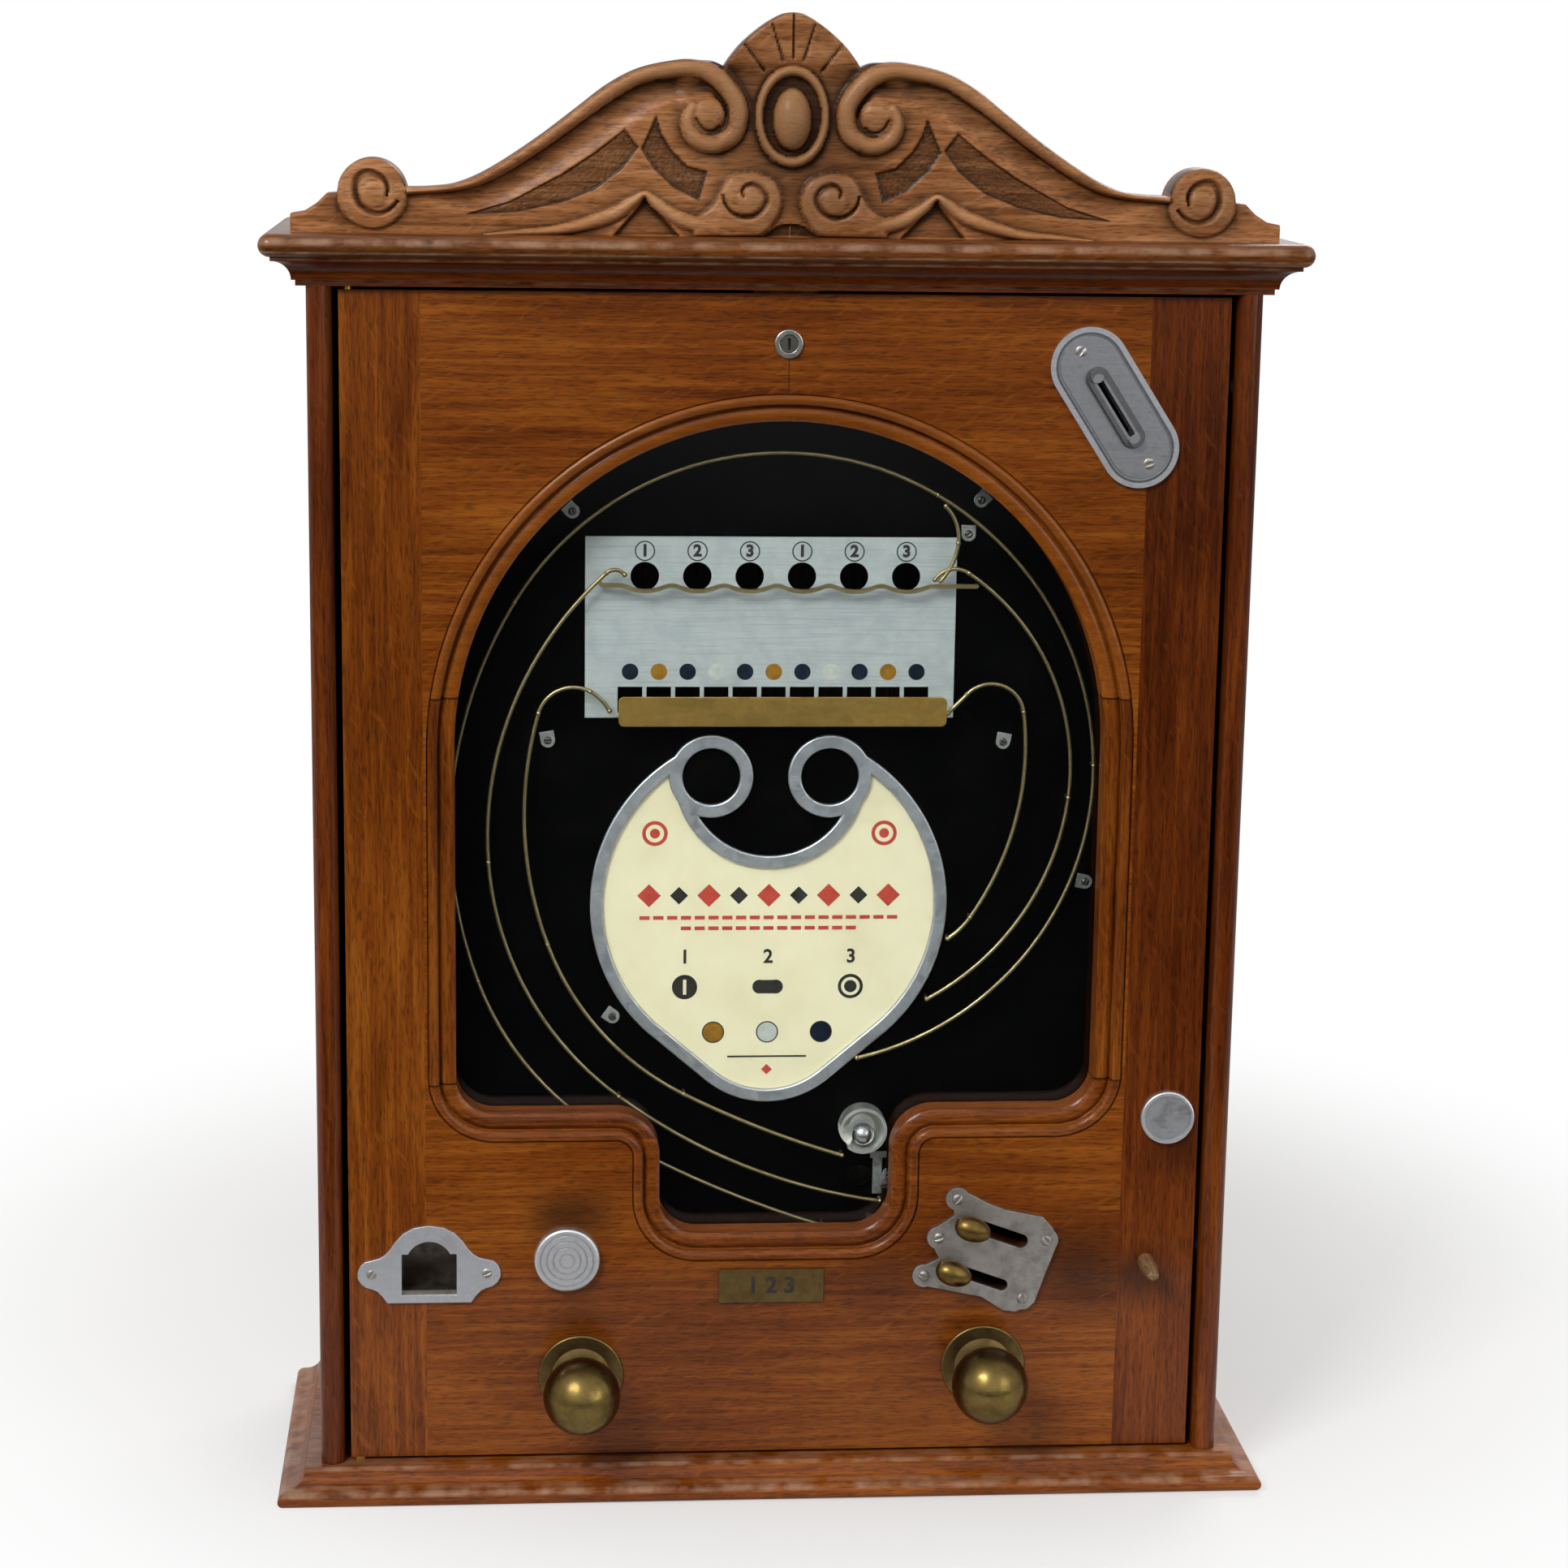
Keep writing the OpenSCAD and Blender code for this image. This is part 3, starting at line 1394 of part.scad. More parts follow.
// Spring wire: one tube along a helix, with a straight start and end along the coil's edge
spring_sides = 6;
spring_rings = 8;
spring_len = end_post_s - collar_s[1] - 2 * seat_c;
spring_lead = spring_wire;

function helix_point(i) = let(n = spring_coils * spring_rings, a = 360 * i / spring_rings)
  [spring_d / 2 * cos(a), spring_d / 2 * sin(a), spring_wire / 2 + (spring_len - spring_wire) * i / n];
function helix_side(i) = let(a = 360 * i / spring_rings) [-sin(a), cos(a), 0];
spring_path = let(n = spring_coils * spring_rings) concat(
  [helix_point(0) - spring_lead * helix_side(0)],
  [for (i = [0 : n]) helix_point(i)],
  [helix_point(n) + spring_lead * helix_side(n)]);
spring_dirs = let(n = spring_coils * spring_rings) concat([helix_side(0)], [for (i = [0 : n]) helix_side(i)],
  [helix_side(n)]);

function spring_ring(i) = let(p = spring_path[i], d = spring_dirs[i], out = cross(d, [0, 0, 1]))
  [for (k = [0 : spring_sides - 1]) let(a = 360 * k / spring_sides)
    p + spring_wire / 2 * (cos(a) * out + sin(a) * [0, 0, 1])];

// Least gap between neighbouring coils, measured on the points of the path
spring_gap = min([for (i = [1 : spring_coils * spring_rings - spring_rings])
  norm(helix_point(i + spring_rings) - helix_point(i))]) - spring_wire;
echo(spring_gap = spring_gap);

module spring(c) {
  rings = len(spring_path);
  n = spring_sides;
  points = [for (i = [0 : rings - 1]) each spring_ring(i)];
  walls = [for (i = [0 : rings - 2], k = [0 : n - 1]) let(a = i * n + k, b = i * n + (k + 1) % n)
    each [[a, b, b + n], [a, b + n, a + n]]];
  ends = concat([for (k = [1 : n - 2]) [0, k + 1, k]],
    [for (k = [1 : n - 2]) (rings - 1) * n * [1, 1, 1] + [0, k, k + 1]]);
  p = along(c, collar_s[1] + seat_c);
  color(steel) translate([p[0], y_door + track_y, p[1]]) rotate([0, 90 + slot_slope, 0])
    polyhedron(points, concat(walls, ends));
}

module upper_trigger() {
  trigger(up_c);
}

module upper_plunger() {
  plunger(up_c);
}

module upper_spring() {
  spring(up_c);
}

module lower_trigger() {
  trigger(low_c);
}

module lower_plunger() {
  plunger(low_c);
}

module lower_spring() {
  spring(low_c);
}

// Finger in the coin's path on the right, weight on the left
module coin_lever() {
  finger = chute_x + 1 - lever_c[0];
  arm = 22;
  y = lever_y + lever_len / 2;
  color(steel) difference() {
    union() {
      rod(lever_c, 8, lever_y, lever_y + lever_len);
      slab(y - 1.5, y + 1.5) rect(lever_c - [arm, 1.5], lever_c + [finger, 1.5]);
      rod(lever_c - [arm, 0], 13, lever_y, lever_y + lever_len);
    }
    rod(lever_c, lever_pin_d + 2 * run_c, lever_y - e, lever_y + lever_len + e);
  }
}

side_panel_left();
side_panel_right();
back_panel();
plinth_board();
cornice_moulding();
top_board();
pediment();
hinge_pins();
lock_keep();
cash_box();
door_stile_left();
door_stile_right();
door_panel();
window_moulding();
window_glass();
playfield_frame();
playfield_board();
score_plate();
pocket_bar();
outer_rail();
middle_rail_left();
middle_rail_right();
inner_rail_left();
inner_rail_right();
scallop_rail();
rail_lugs();
card_frame();
instruction_card();
ball_cup();
steel_balls();
ball_trough();
coin_plate();
coin_chute();
payout_plate();
payout_chute();
check_trough();
knob_roses();
trigger_plate();
mechanism_posts();
lock_body();
blanking_discs();
stile_peg();
name_plate();
lock_barrel();
lock_cam();
left_knob();
left_crank();
check_lifter();
right_knob();
right_crank();
ball_lift();
lifted_ball();
lifted_check();
upper_trigger();
upper_plunger();
upper_spring();
lower_trigger();
lower_plunger();
lower_spring();
coin_lever();
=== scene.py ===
"""Looks of the coin-operated skill game: an oak wall case whose glazed door carries the game."""

import math

import bmesh
import bpy
import numpy as np
from mathutils import Matrix, Vector


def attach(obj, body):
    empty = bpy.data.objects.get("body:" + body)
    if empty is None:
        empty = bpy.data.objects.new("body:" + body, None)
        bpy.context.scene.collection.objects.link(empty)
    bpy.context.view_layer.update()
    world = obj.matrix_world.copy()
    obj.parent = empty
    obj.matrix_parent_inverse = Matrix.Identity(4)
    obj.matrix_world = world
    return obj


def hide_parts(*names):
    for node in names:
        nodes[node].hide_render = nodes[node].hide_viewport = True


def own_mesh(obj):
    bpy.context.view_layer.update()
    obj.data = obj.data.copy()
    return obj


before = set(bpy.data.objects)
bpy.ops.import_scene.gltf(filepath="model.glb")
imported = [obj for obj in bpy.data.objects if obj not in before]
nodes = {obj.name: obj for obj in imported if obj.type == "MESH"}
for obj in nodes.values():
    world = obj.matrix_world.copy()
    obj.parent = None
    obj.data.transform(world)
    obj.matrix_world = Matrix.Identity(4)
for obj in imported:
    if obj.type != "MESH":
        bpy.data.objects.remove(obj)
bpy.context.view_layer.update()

# Sizes of the part that the pieces are set out from, in millimetres, as in its source

MM = 0.001
DOOR_FACE = -71.0
PEDIMENT_FOOT = 691.0
PEDIMENT_THICKNESS = 20.0
SCORE_FACE = 37.2
CARD_FACE = 37.0
CARD_X = -3.5
TRACK_DEPTH = 30.6
TRIGGER_UPPER = (108.0, 153.0)
TRIGGER_LOWER = (98.0, 127.5)
COIN_CENTRE = (173.0, 604.0)
COIN_LEAN = math.radians(33)
COIN_STRAIGHT, COIN_RADIUS = 25.5, 21.0
PAYOUT_CENTRE = (-190.0, 127.7)
LEFT_DISC, RIGHT_DISC = (-114.7, 135.2), (216.0, 213.0)
NAME_CENTRE = (-2.0, 118.0)
SLOT_SLOPE = math.radians(20)
ALONG_SLOT = Vector((math.cos(SLOT_SLOPE), 0, -math.sin(SLOT_SLOPE)))
ACROSS_SLOT = Vector((math.sin(SLOT_SLOPE), 0, math.cos(SLOT_SLOPE)))
INWARD = Vector((0, 1, 0))

# Camera, set from the photograph's own perspective

CAMERA_PLACE = (-0.1470, -1.8710, 0.7816)
CAMERA_LENS, CAMERA_SENSOR = 79.05, 36.0
YAW, PITCH, ROLL = 0.0820, 0.2076, 0.0152


def placed(name, data):
    """A new object in the scene, at the origin."""
    made = bpy.data.objects.new(name, data)
    bpy.context.scene.collection.objects.link(made)
    return made


def place_camera():
    """The camera stands a little left of the door, looks down on it and is turned slightly."""
    ahead = Vector((math.sin(YAW) * math.cos(PITCH), math.cos(YAW) * math.cos(PITCH), -math.sin(PITCH)))
    right = Vector((math.cos(YAW), -math.sin(YAW), 0.0))
    up = right.cross(ahead)
    side = math.cos(ROLL) * right + math.sin(ROLL) * up
    top = -math.sin(ROLL) * right + math.cos(ROLL) * up
    data = bpy.data.cameras.new("camera")
    data.lens = CAMERA_LENS
    data.sensor_width = CAMERA_SENSOR
    camera = placed("camera", data)
    turn = Matrix((side, top, -ahead)).transposed().to_4x4()
    camera.matrix_world = Matrix.Translation(CAMERA_PLACE) @ turn
    bpy.context.scene.camera = camera


place_camera()


# Helpers for node trees and materials

def linear(colour):
    """An sRGB hex colour as linear RGBA."""
    parts = [int(colour[i:i + 2], 16) / 255 for i in (1, 3, 5)]
    return [c / 12.92 if c <= 0.04045 else ((c + 0.055) / 1.055) ** 2.4 for c in parts] + [1.0]


def add(tree, kind, inputs=None, stops=None, **settings):
    """Adds a node. Among the inputs a socket is linked, a node is linked by the first output that it has in
    use, and anything else is set; stops are a ramp's."""
    made = tree.nodes.new(kind)
    for name, value in settings.items():
        setattr(made, name, value)
    for name, value in (inputs or {}).items():
        if isinstance(value, bpy.types.Node):
            value = next(output for output in value.outputs if output.enabled)
        if isinstance(value, bpy.types.NodeSocket):
            tree.links.new(value, made.inputs[name])
        else:
            made.inputs[name].default_value = value
    if stops:
        ramp = made.color_ramp
        while len(ramp.elements) < len(stops):
            ramp.elements.new(1.0)
        for element, (place, colour) in zip(ramp.elements, stops):
            element.position = place
            element.color = linear(colour) if isinstance(colour, str) else (colour, colour, colour, 1.0)
    return made


def new_material(name):
    """An empty material and its tree."""
    material = bpy.data.materials.new(name)
    material.use_nodes = True
    material.node_tree.nodes.clear()
    return material, material.node_tree


def stretch(along, across, axis):
    """Mapping scale for a pattern that is so many millimetres long and wide, along one axis."""
    scale = [1 / (across * MM)] * 3
    scale[axis] = 1 / (along * MM)
    return scale


GRAIN_X, GRAIN_Y, GRAIN_Z = 0, 1, 2
RAY_LEAN = 0.5
# sockets of a Mix node: its amount, then the two that it mixes, for colours and for vectors
AMOUNT, FIRST, SECOND, FIRST_VECTOR, SECOND_VECTOR = 0, 6, 7, 4, 5
# colours laid over the wood: joint lines; stains, also used for painted shade; pale bare wood, also used for
# a painted highlight; pale worn carving, also used for a painted highlight; and on metal, grime that is also
# painted shade
GAP_BLACK, STAIN_AND_SHADE_BROWN, BARE_AND_HIGHLIT_WOOD, RUBBED_AND_HIGHLIT_WOOD = "#1c0c04", "#210e05", "#bb9476", "#c29468"
GRIME_AND_SHADE_BLACK, TARNISH_BROWN = "#1d1c1b", "#2b2010"


def oak(name, axis, light, middle, dark, carved=False, joints=(), worn_and_highlit=(), stains_and_shade=(), crack=None):
    """Oak, sawn to show its rays, stained and varnished long ago: long bands of tone, short dark pores along
    the grain, pale flecks across it, and a thin glossy coat. Where it applies: dark lines at joints, with
    the wood over the topmost painted paler as if lit from above, and grain that lies flat beyond both;
    ridges left pale by rubbing, with a painted highlight where one stands for a shine; carved hollows
    dark with old wax and painted shade, and carved ridges pale from wear and painted highlight; places
    dark from handling, and a wide painted shade; and a drying crack."""
    material, tree = new_material(name)
    place = add(tree, "ShaderNodeTexCoord").outputs["Object"]
    split = add(tree, "ShaderNodeSeparateXYZ", {0: place}).outputs

    def grain(along, across, detail, distortion=0.0):
        """Noise drawn out along the grain, so many millimetres long and wide."""
        spread = add(tree, "ShaderNodeMapping", {"Vector": place, "Scale": stretch(along, across, axis)})
        if joints:
            flat = add(tree, "ShaderNodeMapping", {"Vector": place, "Scale": stretch(along, across, GRAIN_X)})
            low, high = min(joints) * MM, max(joints) * MM
            between = add(tree, "ShaderNodeMath", {0: split["Z"], 1: (low + high) / 2, 2: (high - low) / 2},
                          operation="COMPARE")
            spread = add(tree, "ShaderNodeMix", {AMOUNT: between, FIRST_VECTOR: flat, SECOND_VECTOR: spread},
                         data_type="VECTOR")
        return add(tree, "ShaderNodeTexNoise", {"Vector": spread, "Scale": 1.0, "Detail": detail,
                                                "Distortion": distortion})

    bands = grain(80, 3.6, 5.0, 0.8)
    broad = grain(230, 80, 3.0)
    # true pores are 0.3 mm wide: these are drawn coarser, so that they show at the picture's scale
    pores = grain(9, 0.9, 2.0)
    # rays cut at a slant show as short wavy marks that lean over the grain
    leaning = add(tree, "ShaderNodeVectorRotate", {"Vector": place, "Axis": INWARD, "Angle": RAY_LEAN})
    leaning = add(tree, "ShaderNodeMapping", {"Vector": leaning, "Scale": stretch(13, 2.6, axis)})
    flecks = add(tree, "ShaderNodeTexNoise", {"Vector": leaning, "Scale": 1.0, "Detail": 2.0,
                                              "Distortion": 0.6})
    tone = add(tree, "ShaderNodeMath", {0: bands, 1: 0.5}, operation="MULTIPLY")
    tone = add(tree, "ShaderNodeMath", {0: broad, 1: 0.5, 2: tone}, operation="MULTIPLY_ADD")
    colour = add(tree, "ShaderNodeValToRGB", {"Fac": tone}, [(0.36, dark), (0.50, middle), (0.64, light)])
    pore_mask = add(tree, "ShaderNodeValToRGB", {"Fac": pores}, [(0.34, 0.30), (0.50, 1.0)])
    fleck_mask = add(tree, "ShaderNodeValToRGB", {"Fac": flecks}, [(0.59, 0.0), (0.74, 0.36)])
    layers = [(0.65, pore_mask, "MULTIPLY"), (fleck_mask, linear(light), "MIX")]
    if carved:
        cavity = add(tree, "ShaderNodeAttribute", attribute_name="cavity", attribute_type="GEOMETRY")
        cavity = cavity.outputs["Fac"]
        # the carving's hollows are darkened, partly for old wax and partly as painted shade, and its ridges
        # lightened, partly for wear and partly as painted highlight
        grime_and_shade = add(tree, "ShaderNodeValToRGB", {"Fac": cavity},
                    [(0.10, 0.14), (0.40, 0.66), (0.52, 0.96), (0.80, 1.0)])
        rubbed_and_highlit = add(tree, "ShaderNodeMapRange", {"Value": cavity, "From Min": 0.58, "From Max": 0.95,
                                                  "To Max": 0.6})
        layers += [(1.0, grime_and_shade, "MULTIPLY"), (rubbed_and_highlit, linear(RUBBED_AND_HIGHLIT_WOOD), "MIX")]
    for height in joints:
        # painted light: above the topmost joint the wood is made paler, as lit from above
        if height == max(joints):
            above = add(tree, "ShaderNodeMath", {0: split["Z"], 1: height * MM}, operation="GREATER_THAN")
            paler = add(tree, "ShaderNodeMath", {0: above, 1: 0.4}, operation="MULTIPLY")
            layers.append((paler, linear(light), "MIX"))
        line = add(tree, "ShaderNodeMath", {0: split["Z"], 1: height * MM, 2: 0.6 * MM}, operation="COMPARE")
        line = add(tree, "ShaderNodeMath", {0: line, 1: 0.8}, operation="MULTIPLY")
        layers.append((line, linear(GAP_BLACK), "MIX"))
    if worn_and_highlit:
        patches = add(tree, "ShaderNodeTexNoise", {"Vector": place, "Scale": 1 / (13 * MM), "Detail": 6.0})
        patches = add(tree, "ShaderNodeMapRange", {"Value": patches, "From Min": 0.38, "From Max": 0.62,
                                                   "To Max": 0.55})
    # pale bare wood along a ridge; on the nosing its middle one is also a painted highlight
    for height, half in worn_and_highlit:
        off = add(tree, "ShaderNodeMath", {0: split["Z"], 1: height * MM}, operation="SUBTRACT")
        off = add(tree, "ShaderNodeMath", {0: off}, operation="ABSOLUTE")
        ridge = add(tree, "ShaderNodeMapRange", {"Value": off, "From Min": half * MM,
                                                 "From Max": 0.3 * half * MM})
        bare_and_highlit = add(tree, "ShaderNodeMath", {0: ridge, 1: patches}, operation="MULTIPLY")
        layers.append((bare_and_highlit, linear(BARE_AND_HIGHLIT_WOOD), "MIX"))
    # dark stains; where a wide one darkens the lower panel, painted shade
    for x, z, radius, strength in stains_and_shade:
        away = add(tree, "ShaderNodeVectorMath", {0: place, 1: (x * MM, DOOR_FACE * MM, z * MM)},
                   operation="DISTANCE")
        darkening = add(tree, "ShaderNodeMapRange", {"Value": away, "From Min": radius * MM,
                                                  "From Max": 0.2 * radius * MM, "To Max": 2 * strength})
        darkening = add(tree, "ShaderNodeMath", {0: darkening, 1: bands}, operation="MULTIPLY")
        layers.append((darkening, linear(STAIN_AND_SHADE_BROWN), "MIX"))
    if crack:
        x, low, high = crack
        beside = add(tree, "ShaderNodeMath", {0: split["X"], 1: x * MM, 2: 0.35 * MM}, operation="COMPARE")
        within = add(tree, "ShaderNodeMath", {0: split["Z"], 1: (low + high) / 2 * MM,
                                              2: (high - low) / 2 * MM}, operation="COMPARE")
        gap = add(tree, "ShaderNodeMath", {0: beside, 1: within}, operation="MULTIPLY")
        gap = add(tree, "ShaderNodeMath", {0: gap, 1: 0.6}, operation="MULTIPLY")
        layers.append((gap, linear(GAP_BLACK), "MIX"))
    for amount, shade, blend in layers:
        colour = add(tree, "ShaderNodeMix", {AMOUNT: amount, FIRST: colour, SECOND: shade}, data_type="RGBA",
                     blend_type=blend)
    dullness = add(tree, "ShaderNodeMapRange", {"Value": broad, "From Min": 0.3, "From Max": 0.7,
                                                "To Min": 0.32, "To Max": 0.52})
    relief = add(tree, "ShaderNodeBump", {"Strength": 0.35, "Distance": 0.4 * MM, "Height": pores})
    shader = add(tree, "ShaderNodeBsdfPrincipled", {
        "Base Color": colour, "Roughness": dullness, "Normal": relief, "IOR": 1.5, "Specular IOR Level": 0.12,
        "Coat Weight": 0.06 if carved else 0.32, "Coat Roughness": 0.12})
    add(tree, "ShaderNodeOutputMaterial", {"Surface": shader})
    return material


def metal(name, light, dark, rough, spots, spot_mm, grime_and_shade=(), handled=None):
    """A metal face: fine lines from rubbing or rolling, and blotches of a share and size where it has
    gone dull. Grime, which also stands for painted shade, lies in bands round a straight middle line: its
    centre, lean and half length, then each band's ends and darkness. A handled piece is bright where
    fingers rub it and dark from there back, between two distances from the door's face."""
    material, tree = new_material(name)
    place = add(tree, "ShaderNodeTexCoord").outputs["Object"]
    # true scratches are under 0.1 mm wide: these are drawn coarser, so that they show at the picture's scale
    lines = add(tree, "ShaderNodeMapping", {"Vector": place, "Scale": stretch(14, 0.9, GRAIN_X)})
    lines = add(tree, "ShaderNodeTexNoise", {"Vector": lines, "Scale": 1.0, "Detail": 3.0})
    blotch = add(tree, "ShaderNodeTexNoise", {"Vector": place, "Scale": 1 / (spot_mm * MM), "Detail": 5.0,
                                              "Roughness": 0.62})
    dull = add(tree, "ShaderNodeMapRange", {"Value": blotch, "From Min": 0.38, "From Max": 0.66})
    stain = add(tree, "ShaderNodeMath", {0: dull, 1: spots}, operation="MULTIPLY")
    colour = add(tree, "ShaderNodeMix", {AMOUNT: stain, FIRST: linear(light), SECOND: linear(dark)},
                 data_type="RGBA")
    layers = []
    # bands of grime, which also paint shade and leave rims bright
    for x, z, lean, half, bands in grime_and_shade:
        off = add(tree, "ShaderNodeVectorMath", {0: place, 1: (x * MM, 0, z * MM)}, operation="SUBTRACT")
        turned = add(tree, "ShaderNodeVectorRotate", {"Vector": off, "Axis": INWARD, "Angle": lean})
        split = add(tree, "ShaderNodeSeparateXYZ", {0: turned}).outputs
        along = add(tree, "ShaderNodeMath", {0: split["Z"]}, operation="ABSOLUTE")
        along = add(tree, "ShaderNodeMath", {0: along, 1: half * MM}, operation="SUBTRACT")
        along = add(tree, "ShaderNodeMath", {0: along, 1: 0.0}, operation="MAXIMUM")
        flat = add(tree, "ShaderNodeCombineXYZ", {"X": split["X"], "Z": along})
        away = add(tree, "ShaderNodeVectorMath", {0: flat}, operation="LENGTH")
        for near, far, amount in bands:
            band = add(tree, "ShaderNodeMath", {0: away, 1: (near + far) / 2 * MM, 2: (far - near) / 2 * MM},
                       operation="COMPARE")
            band = add(tree, "ShaderNodeMath", {0: band, 1: amount}, operation="MULTIPLY")
            layers.append((band, GRIME_AND_SHADE_BLACK))
    if handled:
        depth = add(tree, "ShaderNodeSeparateXYZ", {0: place}).outputs["Y"]
        bright, tarnished = handled
        back = add(tree, "ShaderNodeMapRange", {"Value": depth, "From Min": (DOOR_FACE - bright) * MM,
                                                "From Max": (DOOR_FACE - tarnished) * MM, "To Max": 0.8})
        layers.append((back, TARNISH_BROWN))
    for amount, shade in layers:
        colour = add(tree, "ShaderNodeMix", {AMOUNT: amount, FIRST: colour, SECOND: linear(shade)},
                     data_type="RGBA")
    shine = add(tree, "ShaderNodeMapRange", {"Value": dull, "To Min": rough - 0.07, "To Max": rough + 0.12})
    shine = add(tree, "ShaderNodeMath", {0: lines, 1: 0.10, 2: shine}, operation="MULTIPLY_ADD")
    bump = add(tree, "ShaderNodeBump", {"Strength": 0.12, "Distance": 0.2 * MM, "Height": lines})
    shader = add(tree, "ShaderNodeBsdfPrincipled", {"Base Color": colour, "Metallic": 1.0, "Roughness": shine,
                                                    "Normal": bump})
    add(tree, "ShaderNodeOutputMaterial", {"Surface": shader})
    return material


def coated(name, light, dark, rough, mark_mm, mark_low=0.4, mark_high=0.7, shine_level=0.5, brush=None):
    """A painted, printed or papered face: its colour is uneven, with marks of a given size in a second tone.
    Paint put on with a brush has streaks of a length and width too."""
    material, tree = new_material(name)
    place = add(tree, "ShaderNodeTexCoord").outputs["Object"]
    marks = add(tree, "ShaderNodeTexNoise", {"Vector": place, "Scale": 1 / (mark_mm * MM), "Detail": 6.0,
                                             "Roughness": 0.65})
    amount = add(tree, "ShaderNodeMapRange", {"Value": marks, "From Min": mark_low, "From Max": mark_high})
    colour = add(tree, "ShaderNodeMix", {AMOUNT: amount, FIRST: linear(light), SECOND: linear(dark)},
                 data_type="RGBA")
    shine = add(tree, "ShaderNodeMapRange", {"Value": marks, "From Min": 0.3, "From Max": 0.7,
                                             "To Min": rough - 0.06, "To Max": rough + 0.10})
    bump = add(tree, "ShaderNodeBump", {"Strength": 0.08, "Distance": 0.2 * MM, "Height": marks})
    if brush:
        streaks = add(tree, "ShaderNodeMapping", {"Vector": place, "Scale": stretch(*brush, GRAIN_X)})
        streaks = add(tree, "ShaderNodeTexNoise", {"Vector": streaks, "Scale": 1.0, "Detail": 2.0})
        streaks = add(tree, "ShaderNodeMapRange", {"Value": streaks, "From Min": 0.5, "From Max": 0.7,
                                                   "To Max": 0.8})
        colour = add(tree, "ShaderNodeMix", {AMOUNT: streaks, FIRST: colour, SECOND: linear(dark)},
                     data_type="RGBA")
    shader = add(tree, "ShaderNodeBsdfPrincipled", {"Base Color": colour, "Roughness": shine, "Normal": bump,
                                                    "IOR": 1.5, "Specular IOR Level": shine_level})
    add(tree, "ShaderNodeOutputMaterial", {"Surface": shader})
    return material


def window_glass():
    """Drawn window glass: clear, faintly grey, with a soft mirror of the room; lamps shine through it."""
    material, tree = new_material("drawn_glass")
    place = add(tree, "ShaderNodeTexCoord").outputs["Object"]
    ripple = add(tree, "ShaderNodeTexNoise", {"Vector": place, "Scale": 1 / (60 * MM), "Detail": 1.0})
    bump = add(tree, "ShaderNodeBump", {"Strength": 0.02, "Distance": 0.5 * MM, "Height": ripple})
    grey = linear("#f4f7f6")
    pane = add(tree, "ShaderNodeBsdfPrincipled", {"Base Color": grey, "Roughness": 0.01, "IOR": 1.45,
                                                  "Transmission Weight": 1.0, "Normal": bump})
    clear = add(tree, "ShaderNodeBsdfTransparent", {"Color": grey})
    shadow = add(tree, "ShaderNodeLightPath").outputs["Is Shadow Ray"]
    mixed = add(tree, "ShaderNodeMixShader", {0: shadow, 1: pane, 2: clear})
    add(tree, "ShaderNodeOutputMaterial", {"Surface": mixed})
    return material


# Finishes of the pieces

# each stain, and each patch of painted shade, is its place, radius and strength;
# each worn ridge, and each painted highlight along one, its height and half width
# a crack is its place and the heights of its ends
OAK_TONES = ("#a15b18", "#82410c", "#5f2a04")
# darker oak: on the right stile it is painted shade, that side of the door darker as if lit from the left
OAK_DARK_TONES = ("#84420f", "#672d07", "#481b02")
# stains round the fittings; the last, wide one is painted shade that darkens the lower panel
PANEL_STAINS_AND_SHADE = [(-122, 157, 22, 0.55), (-105, 159, 24, 0.55), (-107, 100, 24, 0.3), (170, 127, 40, 0.62),
                (60, 120, 30, 0.3), (0, 60, 240, 0.16)]
STILE_STAINS = [(203, 120, 24, 0.6), (222, 196, 22, 0.5)]
CARVING_STAINS = [(0, 745, 70, 0.3), (20, 708, 34, 0.2), (212, 702, 30, 0.25)]
# dirt that is also painted shade: on the coin plate the field is darkened and a line inside its rim drawn
# dark, so the rim shows bright, and a band round the slot is dark; on the right disc the middle is darkened
# inside a bright rim
COIN_GRIME_AND_SHADE = [(*COIN_CENTRE, COIN_LEAN, COIN_STRAIGHT, [(0, 17, 0.36), (17, 18.2, 0.72)]),
              (*COIN_CENTRE, COIN_LEAN, 18, [(3.2, 6.6, 0.5)])]
DISC_GRIME_AND_SHADE = [(*LEFT_DISC, 0.0, 0.0, [(r, r + 1, 0.22) for r in (3.5, 7, 10.5, 14)]),
              (*RIGHT_DISC, 0.0, 0.0, [(0, 12.8, 0.3)])]
# varnished oak: warm brown with a soft gloss
oak_across = oak("varnished_oak_across", GRAIN_X, *OAK_TONES)
# the same, gone dark round the plates and knobs, darkened low on the panel by painted shade, and cracked over
# the arch
oak_panel = oak("varnished_oak_panel", GRAIN_X, *OAK_TONES, stains_and_shade=PANEL_STAINS_AND_SHADE, crack=(0.3, 598, 628))
# the same, its grain upright
oak_upright = oak("varnished_oak_upright", GRAIN_Z, *OAK_TONES)
# its varnish is rubbed through to pale wood along the moulded edge
oak_plinth = oak("worn_plinth_oak", GRAIN_X, *OAK_TONES, worn_and_highlit=[(8.0, 2.4), (17.6, 2.0)])
# bare end grain: pale, dry and greyish
oak_peg = oak("peg_oak", GRAIN_Y, "#b99a76", "#94744f", "#6f5233")
# oak under a darker stain: red-brown
oak_dark_upright = oak("dark_oak_upright", GRAIN_Z, *OAK_DARK_TONES)
# the same darker oak, which on the right stile is painted shade, as if lit from the left, and dirty where
# hands reach past the triggers
oak_shaded_dirty_stile = oak("shaded_dirty_oak_stile", GRAIN_Z, *OAK_DARK_TONES, stains_and_shade=STILE_STAINS)
